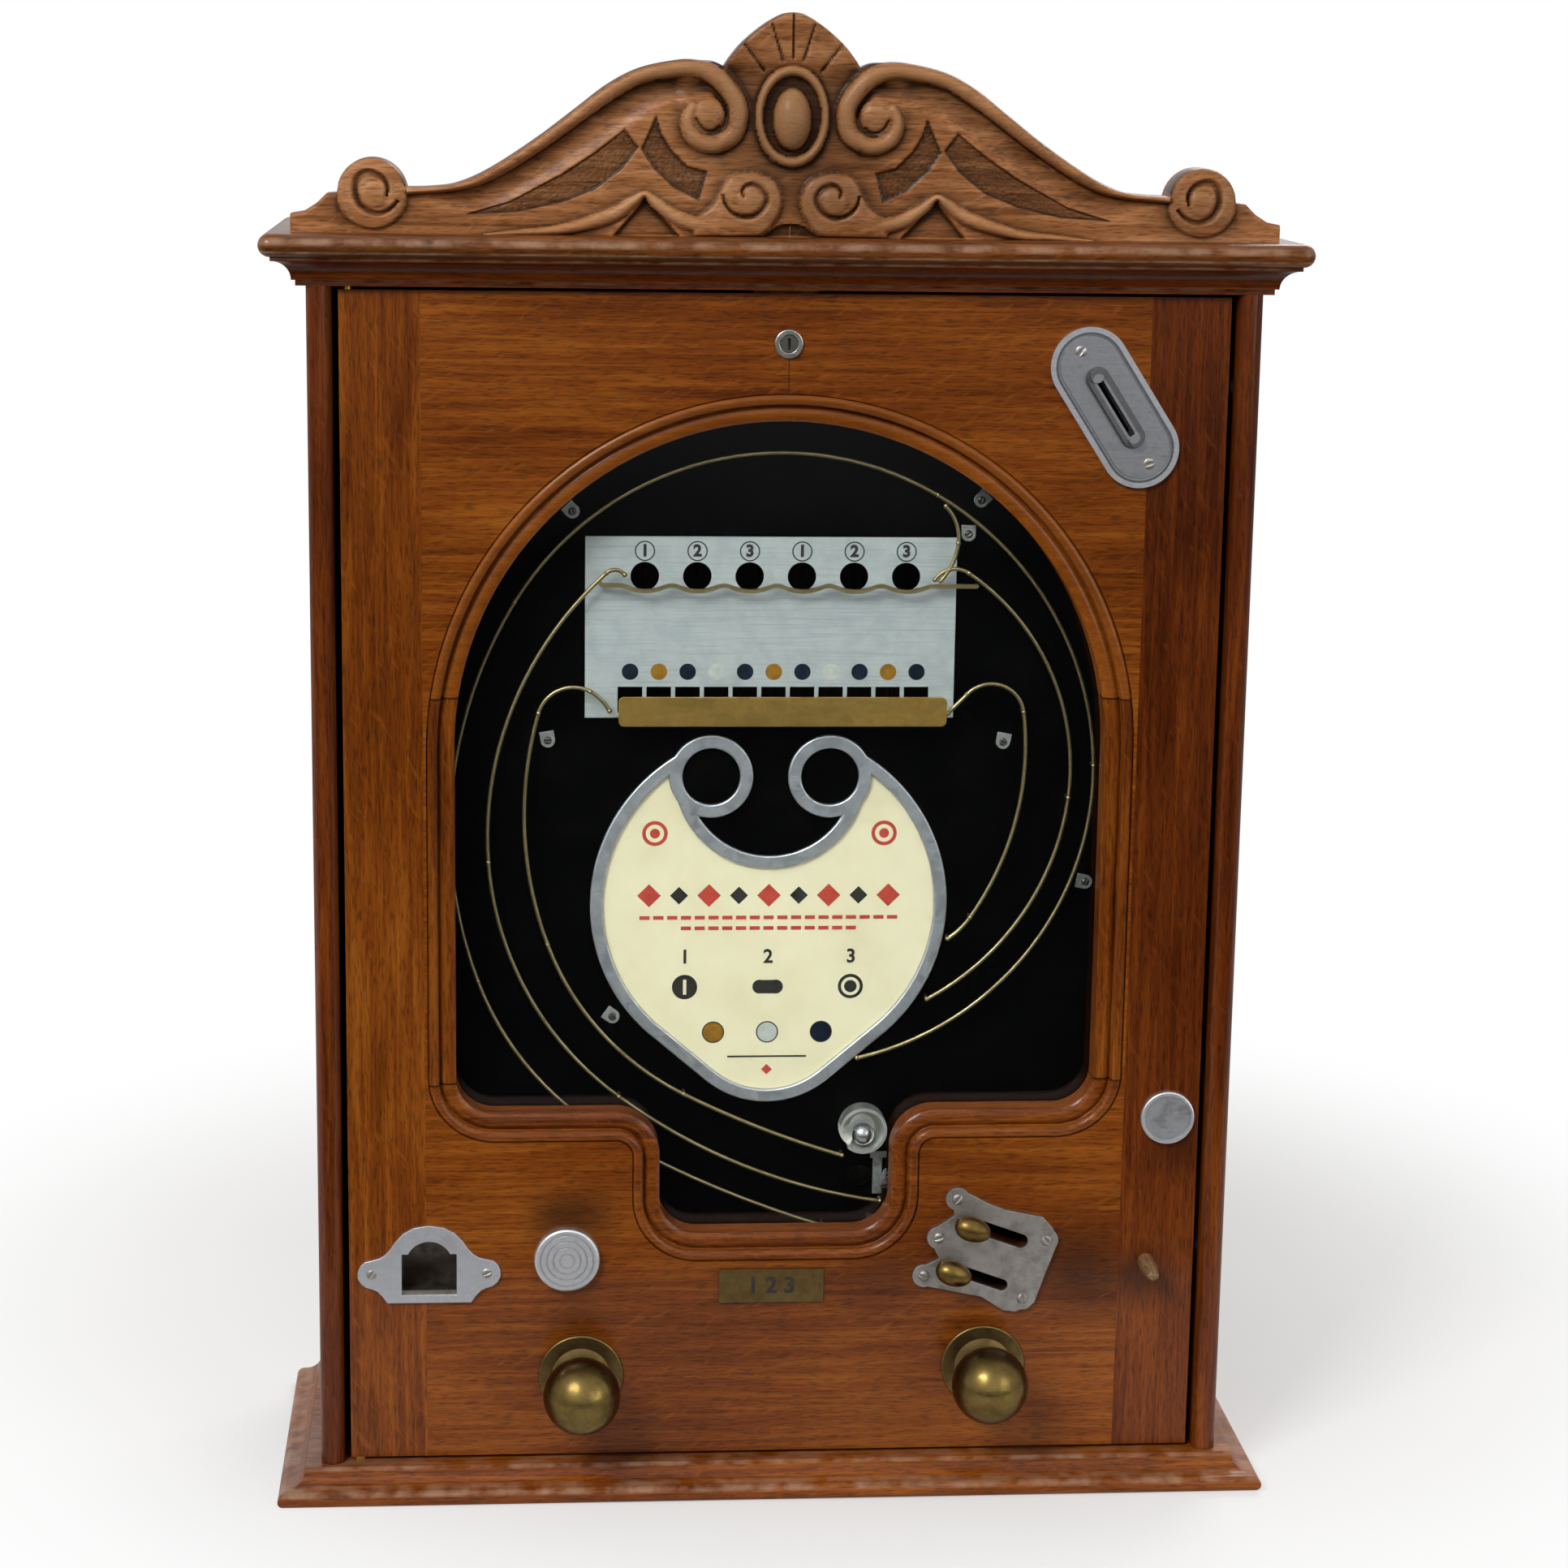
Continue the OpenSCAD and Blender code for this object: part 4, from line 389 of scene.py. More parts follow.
# dark oak planed to a moulding, with paler lines on its sharp edges
oak_cornice = oak("dark_cornice_oak", GRAIN_X, *OAK_DARK_TONES, worn_and_highlit=[(666.4, 0.9), (678.2, 0.9)])
# a rounded edge that shows pale patches where its varnish is gone, and a painted highlight along its middle
oak_nosing = oak("worn_highlit_nosing_oak", GRAIN_X, "#955a2b", "#744119", "#4f290e",
                 worn_and_highlit=[(687.0, 2.6), (681.6, 0.8)])
# oak worked round the window in lengths, with a dark line at each joint, and its arch above the topmost
# painted paler, as lit from above
oak_moulding = oak("moulding_oak", GRAIN_Z, "#9c5717", "#7f400d", "#5a2705", joints=(234, 447))
# carved oak: matt, its hollows dark with old wax and painted shade, and its ridges pale from wear and painted
# highlight
oak_carved = oak("carved_oak", GRAIN_X, "#cf9566", "#ad7143", "#7d4d2b", carved=True, stains_and_shade=CARVING_STAINS)
# oak that was never polished: dull and dark
oak_back = oak("dark_back_oak", GRAIN_Z, "#4a3524", "#39281b", "#281b11")
# brushed black paint: deep, with next to no shine
black_paint = coated("black_paint", "#030303", "#080707", 0.45, 30, 0.5, 0.8, shine_level=0.03)
# turned brass, polished by hands in front and dark towards its neck
knob_brass = metal("handled_brass", "#8f7a47", "#51411c", 0.25, 0.6, 11, handled=(55, 36))
# stamped brass gone brown and blotchy
worn_brass = metal("worn_brass", "#7f6a42", "#45361d", 0.34, 0.6, 9)
# rolled brass: yellow, with a satin shine
brass = metal("satin_brass", "#e3bb69", "#94702f", 0.34, 0.8, 18)
# drawn brass wire: greyish gold
rail_brass = metal("dull_brass_wire", "#b0a077", "#6d5e42", 0.36, 0.6, 16)
# cast aluminium rubbed bright: pale, cool grey
aluminium = metal("rubbed_aluminium", "#d3d6dc", "#9c9ea4", 0.40, 0.55, 7)
# the same with black dirt inside its rim and round the coin's mouth, which is also painted shade:
# a dark groove line, the field darker so that the rim shows bright, and a dark band round the slot
plate_aluminium = metal("grimed_and_shaded_aluminium", "#d6d8dc", "#8f9196", 0.38, 0.6, 5, grime_and_shade=COIN_GRIME_AND_SHADE)
# aluminium turned on a lathe: pale, with rings of dirt, and the right disc darker inside a rim left bright as
# a painted highlight
turned_aluminium = metal("turned_aluminium", "#dddfe3", "#a3a5aa", 0.40, 0.5, 7, grime_and_shade=DISC_GRIME_AND_SHADE)
# cold-rolled steel: grey with brownish blotches
sheet_steel = metal("sheet_steel", "#b0aca7", "#625c56", 0.44, 0.7, 8)
# blackened sheet: dark and dull
dark_sheet = metal("dark_sheet_steel", "#57544f", "#2f2c29", 0.45, 0.6, 6)
# sheet that coins have rubbed: mid grey, slightly brown
chute_steel = metal("chute_steel", "#8d877e", "#524d46", 0.42, 0.6, 8)
# cast bronze smoothed by fingers: brown-gold
grip_bronze = metal("handled_bronze", "#7c6638", "#44351a", 0.30, 0.6, 7)
# zinc plate: chalky grey
dull_zinc = metal("dull_zinc", "#b4b6b4", "#7b7d7c", 0.5, 0.6, 4)
# ground steel: clear reflections
bright_steel = metal("bright_steel", "#c3c5c8", "#8d8d8c", 0.22, 0.3, 9)
# nickel plate: warm white, with a soft shine
nickel = metal("satin_nickel", "#ecebe6", "#b7b6b0", 0.42, 0.35, 5)
# the lock's polished rim: bright, with dark specks
lock_nickel = metal("lock_nickel", "#cfcdc7", "#7d7b75", 0.20, 0.5, 4)
# nickel plate gone brown-grey
dark_nickel = metal("tarnished_nickel", "#75736c", "#45433e", 0.34, 0.5, 4)
# brushed paint: pale blue-grey with fine streaks
score_paint = coated("score_paint", "#abb1b1", "#979f9f", 0.5, 12, 0.42, 0.75, brush=(40, 0.9))
# matt card, yellowed unevenly
card_paper = coated("card_paper", "#e8dfbd", "#dcd1ab", 0.75, 40, 0.4, 0.75)
# gloss paint in small spots: nearly black blue, ochre and off-white
dot_blue = coated("blue_dot_paint", "#121925", "#1f2a39", 0.4, 4, shine_level=0.1)
dot_gold = coated("gold_dot_paint", "#936a24", "#74531d", 0.4, 4, shine_level=0.1)
dot_white = coated("white_dot_paint", "#bbbeb7", "#a5aaa6", 0.45, 4, shine_level=0.1)
# printer's ink, thin and a little uneven
ink_black = coated("black_ink", "#191613", "#2a2520", 0.6, 6)
ink_red = coated("red_ink", "#bd4232", "#a83628", 0.6, 6)
# drawn glass: clear, with a faint mirror of the room
glass = window_glass()

FINISHES = (
    (oak_across, "pediment"), (oak_panel, "door_panel"), (oak_upright, "door_stile_left"),
    (oak_plinth, "plinth_board"), (oak_peg, "stile_peg"), (oak_shaded_dirty_stile, "door_stile_right"),
    (oak_dark_upright, "side_panel_left side_panel_right"), (oak_cornice, "cornice_moulding"),
    (oak_nosing, "top_board"), (oak_moulding, "window_moulding"), (oak_back, "back_panel"),
    (black_paint, "playfield_frame playfield_board"), (knob_brass, "left_knob right_knob"),
    (worn_brass, "knob_roses name_plate"), (brass, "hinge_pins lock_keep pocket_bar lifted_check"),
    (rail_brass, "outer_rail middle_rail_left middle_rail_right inner_rail_left inner_rail_right "
                 "scallop_rail"),
    (aluminium, "card_frame payout_plate"), (plate_aluminium, "coin_plate"),
    (turned_aluminium, "blanking_discs"), (dark_sheet, "ball_trough ball_lift"),
    (sheet_steel, "cash_box coin_chute check_trough trigger_plate check_lifter"),
    (chute_steel, "payout_chute"), (grip_bronze, "upper_trigger lower_trigger"), (dull_zinc, "rail_lugs"),
    (bright_steel, "steel_balls lifted_ball mechanism_posts lock_cam left_crank right_crank upper_plunger "
                   "lower_plunger upper_spring lower_spring coin_lever"),
    (nickel, "ball_cup"), (lock_nickel, "lock_body"), (dark_nickel, "lock_barrel"),
    (score_paint, "score_plate"), (card_paper, "instruction_card"), (glass, "window_glass"),
)
for finish, names in FINISHES:
    for name in names.split():
        nodes[name].data.materials.clear()
        nodes[name].data.materials.append(finish)


# Helpers for pieces

def fitted(name, mesh, body):
    """A finished piece, which rides on a body."""
    made = placed(name, mesh)
    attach(made, body)
    return made


def piece(name, points, faces, body, finish, smooth=True):
    """A mesh piece from points in millimetres, which rides on a body."""
    mesh = bpy.data.meshes.new(name)
    mesh.from_pydata((np.asarray(points, float) * MM).tolist(), [], faces)
    mesh.update()
    mesh.materials.append(finish)
    for polygon in mesh.polygons:
        polygon.use_smooth = smooth
    return fitted(name, mesh, body)


def settled(source, name):
    """The mesh of an object with its modifiers applied. The object itself is removed."""
    graph = bpy.context.evaluated_depsgraph_get()
    mesh = bpy.data.meshes.new_from_object(source.evaluated_get(graph))
    mesh.name = name
    bpy.data.objects.remove(source)
    return mesh


def face_outwards(mesh):
    """Turns the faces of a closed mesh outwards."""
    shell = bmesh.new()
    shell.from_mesh(mesh)
    bmesh.ops.recalc_face_normals(shell, faces=shell.faces)
    shell.to_mesh(mesh)
    shell.free()


SHARP_EDGE, CREASE = math.radians(30), math.radians(50)
FLAT_ENOUGH = math.radians(0.5)
SAME_POINT = 0.002 * MM


def softened(node, width, body):
    """Stands for a CAD node, with its edges rounded as those of a cast or stamped piece are."""
    mesh = nodes[node].data.copy()
    merged = bmesh.new()
    merged.from_mesh(mesh)
    bmesh.ops.remove_doubles(merged, verts=merged.verts, dist=SAME_POINT)
    bmesh.ops.dissolve_limit(merged, angle_limit=FLAT_ENOUGH, verts=merged.verts, edges=merged.edges)
    merged.to_mesh(mesh)
    merged.free()
    rough = placed(node + "_rough", mesh)
    bevel = rough.modifiers.new("edges", "BEVEL")
    bevel.width = width * MM
    bevel.segments = 3
    bevel.limit_method = "ANGLE"
    bevel.angle_limit = SHARP_EDGE
    rounded = settled(rough, node + "_softened")
    for polygon in rounded.polygons:
        corners = [rounded.vertices[v].co for v in polygon.vertices]
        longest = max((a - b).length for a, b in zip(corners, corners[1:] + corners[:1]))
        polygon.use_smooth = polygon.area < longest * width * MM
    made = fitted(node + "_softened", rounded, body)
    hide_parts(node)


for name, width, slot in (("coin_plate", 0.5, "aluminium"), ("payout_plate", 0.8, "aluminium"),
                          ("trigger_plate", 0.6, "sheet_steel"), ("name_plate", 0.4, "aged_brass"),
                          ("pocket_bar", 0.8, "brass"), ("card_frame", 1.8, "aluminium"),
                          ("rail_lugs", 0.3, "sheet_steel"), ("lock_body", 1.2, "chrome")):
    softened(name, width, "door")


# Carved pediment, drawn as one half: distance from the middle and height over its foot, in millimetres

# a third number is a width along a line, or the radius of an eye or scroll
# an oval is the height of its middle and its two half sizes
CREST_LINE = [(0, 114), (5.6, 113), (14.8, 107.7), (24.8, 99.5), (30.9, 92.6), (35.2, 86.5)]
NECK_LINE = [CREST_LINE[-1], (41, 88.9), (47.9, 89.4), (57.9, 89.5), (78.1, 85.2), (94.8, 76.7), (111.5, 64),
             (131.6, 48.8), (155, 33.5), (171.8, 25.8), (185.3, 23.7), (197.9, 23.2)]
END_LINE = [(233.8, 20), (238.9, 19.6), (244, 14.6), (250.7, 10.3), (257.4, 9.1)]
END_SCROLL = (215.5, 20.0, 18.0)
NECK_BAND = [(197.9, 21.5, 4.4), (171.8, 24.1, 4.8), (154.2, 31, 6.8), (131.5, 45.4, 7.6), (111.4, 60.2, 8.2),
             (94.7, 72.5, 9), (78, 81.6, 9), (57.8, 85.5, 9.8), (45.2, 84, 10), (35, 77, 10.2),
             (28.5, 67, 10.4), (28.5, 57.5, 10.6), (32, 51, 10.4), (41, 47, 10.2), (50, 50, 9.6),
             (54, 58, 8.8), (51.5, 65.5, 7)]
NECK_COVE = [(190, 18, 8), (171.8, 17, 13), (153.3, 21, 17), (131.5, 33.6, 19), (111.4, 47.6, 20),
             (94.6, 59, 21), (81.2, 68.6, 20), (64.5, 75, 16), (54, 75.4, 12), (42.3, 75.6, 9), (36.5, 70, 7),
             (35, 62.5, 5)]
VOLUTE = [(58, 87), (47.9, 89.4), (34.6, 83.3), (26.7, 73.2), (23.5, 63.9), (26.4, 52.3), (34.1, 45.2),
          (41.9, 43.2), (49.7, 45.2), (55.2, 50.6), (57.6, 57.6), (57, 70), (60, 80)]
VOLUTE_EYE = (44.2, 61.5, 9.6)
EYE_CRESCENT = [(37.8, 56.1, 2), (42, 53.6, 2.6), (46.7, 55.3, 2.6), (49.7, 60, 2)]
LEAVES = [
    [(166.8, 10.1), (144.9, 16.6), (118, 31.1), (101.2, 42.2), (86.2, 54), (79.3, 44.8), (87.7, 33.8),
     (101.1, 23.5), (117.9, 16.7), (141.5, 11.5)],
    [(70.2, 60.9), (77.6, 43.9), (70.8, 33.8), (60.5, 24.5), (47.8, 18.6), (43.7, 33.1), (53.9, 35.6),
     (62.5, 44), (67.6, 52.4)],
]
LOWER_ROLL = [(158, 0, 0.8), (140, 0.9, 4), (119.5, 2.6, 6), (94.3, 9.8, 8), (82, 17.4, 6), (75.7, 21.2, 3.6),
              (68.9, 15.8, 6.6), (57, 8.6, 8), (38.3, 4.2, 8.6)]
ROLL_RECESS = [(91.6, 0), (75.4, 18.6), (57.7, 0)]
CURL = [(50, 0), (25.7, 0.3), (14.7, 1.9), (7.1, 11), (5.2, 19.6), (8.9, 28.2), (16.8, 32), (23.8, 32.4),
        (31.6, 30.4), (35.8, 24.5), (39.5, 17.5), (45, 12.4), (53, 9)]
CURL_GROOVE = [(25, 20.5, 2), (25.6, 23.6, 2.8), (23.6, 26, 3.4), (19.8, 26.6, 4), (15.4, 24.4, 4.4),
               (12.8, 19.6, 4.4), (14.6, 14.6, 4.2), (18.8, 11.2, 4), (24.2, 10.2, 3.6), (30, 12, 3.2),
               (34, 16.3, 2.6), (35.4, 21, 2)]
CURL_EYE = (22.5, 18.2, 6.2)
END_GROOVE = [(208, 19, 2), (207.6, 24, 3.2), (210.8, 28.4, 4.2), (217, 30.4, 5), (222.4, 27.8, 5.4),
              (224, 20.6, 5.2), (221, 13.6, 4.6), (213.8, 9.8, 4), (207.1, 11.6, 3.2), (202.5, 16, 2.4)]
END_EYE = (214.5, 19.5, 6.4)
BOSS = (60.0, 10.0, 16.0)
MOAT = (60.5, 16.0, 21.0)
BOSS_RING, BOSS_RING_WIDTH = (61.5, 17.1, 23.3), 4.2
CREST_CUTS = [[(11, 108.1, 1.2), (5.4, 90, 2.4)], [(25.2, 98, 1.2), (15, 84.8, 2.4)],
              [(0, 113, 1.0), (0, 91, 2)]]
ARCH_RECESS = [(14, 0), (13.2, 0.7), (7, 5.5), (0, 6.7), (0, 0)]
HIGHEST, BOSS_HIGHEST = 4.6, 9.2
COLUMNS_ACROSS, ROWS_UP = 561, 112
# how much a hollow counts as one, by the steps over which the carving is levelled round it
CAVITY_SHARES = {10: 0.26, 120: 0.11}


def along_line(u, z, line):
    """Distance of each point from a line, and the line's width at the nearest place."""
    nearest = np.full(u.shape, 1e9)
    width = np.zeros(u.shape)
    for (u0, z0, w0), (u1, z1, w1) in zip(line, line[1:]):
        du, dz = u1 - u0, z1 - z0
        share = np.clip(((u - u0) * du + (z - z0) * dz) / (du * du + dz * dz), 0, 1)
        distance = np.hypot(u - u0 - share * du, z - z0 - share * dz)
        closer = distance < nearest
        nearest = np.where(closer, distance, nearest)
        width = np.where(closer, w0 + share * (w1 - w0), width)
    return nearest, width


def smooth_line(line, steps=6):
    """A line drawn as a smooth curve through its points."""
    knots = np.array([line[0], *line, line[-1]], float)
    curve = []
    for a, b, c, d in zip(knots, knots[1:], knots[2:], knots[3:]):
        for t in np.arange(steps) / steps:
            curve.append(0.5 * (2 * b + (c - a) * t + (2 * a - 5 * b + 4 * c - d) * t ** 2
                                + (3 * b - a - 3 * c + d) * t ** 3))
    curve.append(knots[-1])
    return [tuple(point) for point in curve]


def inside(u, z, outline):
    """How far each point lies inside an outline, negative outside."""
    ring = list(outline) + [outline[0]]
    edge, _ = along_line(u, z, [(a, b, 0) for a, b in ring])
    crossings = np.zeros(u.shape, bool)
    for (u0, z0), (u1, z1) in zip(ring, ring[1:]):
        if z0 == z1:
            continue
        crosses = (z0 > z) != (z1 > z)
        crossings ^= crosses & (u < (u1 - u0) * (z - z0) / (z1 - z0) + u0)
    return np.where(crossings, edge, -edge)


def ramped(distance, width):
    """Nought outside, one inside, over a width."""
    t = np.clip(distance / width + 0.5, 0, 1)
    return t * t * (3 - 2 * t)


def rounded_off(u, z, line, power):
    """One along the middle of a line, nought at its edges: the lower the power, the fuller it is."""
    distance, width = along_line(u, z, line)
    return np.clip(1 - (distance / (width / 2)) ** 2, 0, 1) ** power


def bead(u, z, line, height):
    """Height of a rounded ridge along a line."""
    return height * rounded_off(u, z, smooth_line(line), 0.7)


def hollow(u, z, line, depth):
    """Depth of a rounded groove along a line."""
    return depth * rounded_off(u, z, smooth_line(line), 1.5)


def raised(h, ridge):
    """The carving with a ridge set on it."""
    return np.where(ridge > 0, np.maximum(h, ridge), h)


def swollen(h, within, height):
    """The carving with a leaf set on it, whose edge is rounded."""
    leaf = ramped(within, 1.8) * (1.0 + height * np.sqrt(np.clip(within / 7, 0, 1)))
    return np.where(within > -0.9, np.maximum(h, leaf), h)


def dome(u, z, centre, height):
    """Height of a round button."""
    return height * np.sqrt(np.clip(1 - ((u - centre[0]) ** 2 + (z - centre[1]) ** 2) / centre[2] ** 2, 0, 1))


def oval(u, z, middle, half_u, half_z):
    """Distance from the middle of an oval, where 1 is its edge."""
    return np.hypot(u / half_u, (z - middle) / half_z)


def carved_height(u, z, top):
    """Height of the carving over the board's face."""
    h = -0.8 * ramped(40 - u, 20) * ramped(88 - z, 6)
    h = h + 2.2 * ramped(z - 84, 10) * np.clip(1 - (u / 36) ** 2, 0, 1)
    h = h - hollow(u, z, NECK_COVE, 2.8) * ramped(176 - u, 30)
    h = h + 1.2 * ramped(inside(u, z, VOLUTE), 7)
    punched = np.random.default_rng(7).uniform(-0.45, 0.45, u.shape)
    for leaf in LEAVES:
        h = h + ramped(inside(u, z, leaf), 0.9) * (0.5 * punched - 1.0)
    h = h - 2.6 * ramped(inside(u, z, ROLL_RECESS), 1.2)
    h = raised(h, bead(u, z, LOWER_ROLL, 3.4))
    h = raised(h, bead(u, z, NECK_BAND, 4.4))
    h = raised(h, dome(u, z, VOLUTE_EYE, 4.4))
    h = h - hollow(u, z, EYE_CRESCENT, 1.6)
    h = swollen(h, inside(u, z, smooth_line(CURL)), 2.4)
    h = h - hollow(u, z, CURL_GROOVE, 2.2) + dome(u, z, CURL_EYE, 1.2)
    h = swollen(h, END_SCROLL[2] - np.hypot(u - END_SCROLL[0], z - END_SCROLL[1]), 2.6)
    h = h - hollow(u, z, END_GROOVE, 2.4) + dome(u, z, END_EYE, 1.3)
    h = np.where(oval(u, z, *MOAT) < 1.0, np.minimum(h, -1.6), h)
    ring = np.abs(oval(u, z, *BOSS_RING) - 1) * BOSS_RING[1]
    h = raised(h, 4.0 * np.sqrt(np.clip(1 - (ring / (BOSS_RING_WIDTH / 2)) ** 2, 0, 1)) - 0.4)
    boss = oval(u, z, *BOSS)
    h = np.where(boss < 1, BOSS_HIGHEST * np.sqrt(np.clip(1 - boss ** 2, 0, 1)) - 0.6, h)
    for cut in CREST_CUTS:
        h = h - 1.5 * rounded_off(u, z, cut, 1)
    h = h - 2.6 * ramped(inside(u, z, ARCH_RECESS), 1.0)
    rim = np.clip((top - z) / 2.4, 0, 1)
    return np.minimum(h, np.where(boss < 1, BOSS_HIGHEST, HIGHEST)) - 1.8 * (1 - np.sqrt(1 - (1 - rim) ** 2))


def carved_pediment():
    """Swan-neck pediment carved in one board: a grid of points over its face, with edges and a flat back."""
    half = END_LINE[-1][0]
    columns = np.linspace(-half, half, COLUMNS_ACROSS)
    u = np.abs(columns)
    neck = np.array(smooth_line(NECK_LINE) + END_LINE)
    crest = np.array(smooth_line(CREST_LINE))
    top = np.where(u < CREST_LINE[-1][0], np.interp(u, *crest.T), np.interp(u, *neck.T))
    across = np.clip(1 - ((u - END_SCROLL[0]) / END_SCROLL[2]) ** 2, 0, 1)
    top = np.maximum(top, np.where(across > 0, END_SCROLL[1] + END_SCROLL[2] * np.sqrt(across), 0))
    shares = np.concatenate([np.linspace(0, 0.965, ROWS_UP), [0.978, 0.988, 0.995, 1.0]])
    z = top[:, None] * shares[None, :]
    x = np.repeat(columns[:, None], len(shares), axis=1)
    h = carved_height(np.abs(x), z, top[:, None])
    level = h.copy()
    # hollows of the carving, by how far it lies under a smoothed copy of itself: the finish darkens them with
    # old wax and painted shade, and lightens the ridges with wear and painted highlight
    cavity = np.full(h.shape, 0.5)
    for step in range(1, max(CAVITY_SHARES) + 1):
        padded = np.pad(level, 1, mode="edge")
        level = (padded[:-2, 1:-1] + padded[2:, 1:-1] + padded[1:-1, :-2] + padded[1:-1, 2:]) / 4
        if step in CAVITY_SHARES:
            cavity = cavity + (h - level) * CAVITY_SHARES[step]
    # the leaves' sunk ground is darkened with painted shade, most of all along their outlines
    for leaf in LEAVES:
        within = inside(np.abs(x), z, leaf)
        cavity = cavity - 0.20 * ramped(within, 0.9) - 0.28 * np.clip(1 - np.abs(within) / 1.1, 0, 1)
    cavity = np.clip(cavity, 0, 1)
    nx, nz = x.shape
    front = np.stack([x, DOOR_FACE - h, PEDIMENT_FOOT + z], axis=-1).reshape(-1, 3)
    back_y = np.full(nx, DOOR_FACE + PEDIMENT_THICKNESS)
    low = np.stack([columns, back_y, np.full(nx, PEDIMENT_FOOT)], axis=-1)
    high = np.stack([columns, back_y, PEDIMENT_FOOT + top], axis=-1)
    at = np.arange(nx * nz).reshape(nx, nz)
    lo = nx * nz + np.arange(nx)
    hi = lo + nx
    faces = [(at[i, j], at[i + 1, j], at[i + 1, j + 1], at[i, j + 1])
             for i in range(nx - 1) for j in range(nz - 1)]
    for i in range(nx - 1):
        faces.append((at[i, -1], at[i + 1, -1], hi[i + 1], hi[i]))
        faces.append((at[i + 1, 0], at[i, 0], lo[i], lo[i + 1]))
        faces.append((lo[i + 1], lo[i], hi[i], hi[i + 1]))
    faces.append((*at[0], hi[0], lo[0]))
    faces.append((*at[-1, ::-1], lo[-1], hi[-1]))
    faces = [tuple(int(k) for k in face) for face in faces]
    made = piece("pediment_carved", np.concatenate([front, low, high]), faces, "case", oak_carved)
    hollowness = made.data.attributes.new("cavity", "FLOAT", "POINT")
    values = np.concatenate([cavity.ravel(), np.full(2 * nx, 0.5)]).astype(np.float32)
    hollowness.data.foreach_set("value", values)
    made.data.set_sharp_from_angle(angle=CREASE)
    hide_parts("pediment")


carved_pediment()


# Triggers: springs, and grips, rounded like an egg by wear

SPRING_START, SPRING_END = 7.9, 55.6
SPRING_COILS, STEPS_PER_COIL = 11, 20
SPRING_RADIUS = 4.15
WIRE_RADIUS, WIRE_SIDES = 0.55, 8
GRIP_OUT = 12.0
GRIP_HALF = 10.5
GRIP_RADIUS, GRIP_SIDES, GRIP_STEPS = 6.95, 32, 24
GRIP_TAPER = 0.1
STEM_RADIUS, STEM_SIDES = 2.5, 24
STEM_GAP = 6.0


def ring_faces(rings, sides):
    """Faces between rings of points that follow one another, and over both ends."""
    faces = []
    for i in range(rings - 1):
        for k in range(sides):
            a, b = i * sides + k, i * sides + (k + 1) % sides
            faces.append((a, b, b + sides, a + sides))
    return faces + [tuple(range(sides))[::-1], tuple((rings - 1) * sides + k for k in range(sides))]


def trigger_spring(name, node, centre):
    """A coil of round wire along the slot, whose far end stands against its post."""
    middle = Vector((centre[0], DOOR_FACE + TRACK_DEPTH, centre[1]))
    start = middle + ALONG_SLOT * (SPRING_START + WIRE_RADIUS)
    length = SPRING_END - SPRING_START - 2 * WIRE_RADIUS
    steps = SPRING_COILS * STEPS_PER_COIL
    points = []
    for i in range(steps + 1):
        turn = 2 * math.pi * i / STEPS_PER_COIL
        outward = ACROSS_SLOT * math.cos(turn) + INWARD * math.sin(turn)
        wire = start + ALONG_SLOT * (length * i / steps) + outward * SPRING_RADIUS
        for k in range(WIRE_SIDES):
            bend = 2 * math.pi * k / WIRE_SIDES
            points.append(wire + (outward * math.cos(bend) + ALONG_SLOT * math.sin(bend)) * WIRE_RADIUS)
    made = piece(name, points, ring_faces(steps + 1, WIRE_SIDES), "door", bright_steel)
    face_outwards(made.data)
    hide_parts(node)
    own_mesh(made)


trigger_spring("upper_spring_coil", "upper_spring", TRIGGER_UPPER)
trigger_spring("lower_spring_coil", "lower_spring", TRIGGER_LOWER)


def revolved(start, way, profile, sides):
    """Points of a turned shape: its profile is distance along the axis and radius."""
    side = INWARD if abs(way.y) < 0.5 else Vector((1, 0, 0))
    other = way.cross(side)
    turns = [2 * math.pi * k / sides for k in range(sides)]
    return [start + way * t + (side * math.cos(turn) + other * math.sin(turn)) * r
            for t, r in profile for turn in turns]


def trigger_grip(name, node, centre, body):
    """A bronze egg along the slot, thicker at its upper end, on a round stem."""
    middle = Vector((centre[0], DOOR_FACE - GRIP_OUT, centre[1]))
    profile = []
    for i in range(1, GRIP_STEPS):
        t = -math.cos(math.pi * i / GRIP_STEPS)
        profile.append((GRIP_HALF * t, GRIP_RADIUS * math.sqrt(1 - t * t) * (1 - GRIP_TAPER * t)))
    egg = revolved(middle, ALONG_SLOT, profile, GRIP_SIDES)
    stem_end = GRIP_OUT + TRACK_DEPTH - STEM_GAP
    stem = revolved(middle, INWARD, [(0, STEM_RADIUS), (stem_end, STEM_RADIUS)], STEM_SIDES)
    faces = ring_faces(len(profile), GRIP_SIDES)
    faces += [tuple(k + len(egg) for k in face) for face in ring_faces(2, STEM_SIDES)]
    made = piece(name, egg + stem, faces, body, grip_bronze)
    face_outwards(made.data)
    made.data.set_sharp_from_angle(angle=CREASE)
    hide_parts(node)


trigger_grip("upper_trigger_grip", "upper_trigger", TRIGGER_UPPER, "upper_trigger_set")
trigger_grip("lower_trigger_grip", "lower_trigger", TRIGGER_LOWER, "lower_trigger_set")


# Geometry Nodes for what repeats: painted dots and slotted screws, set on points

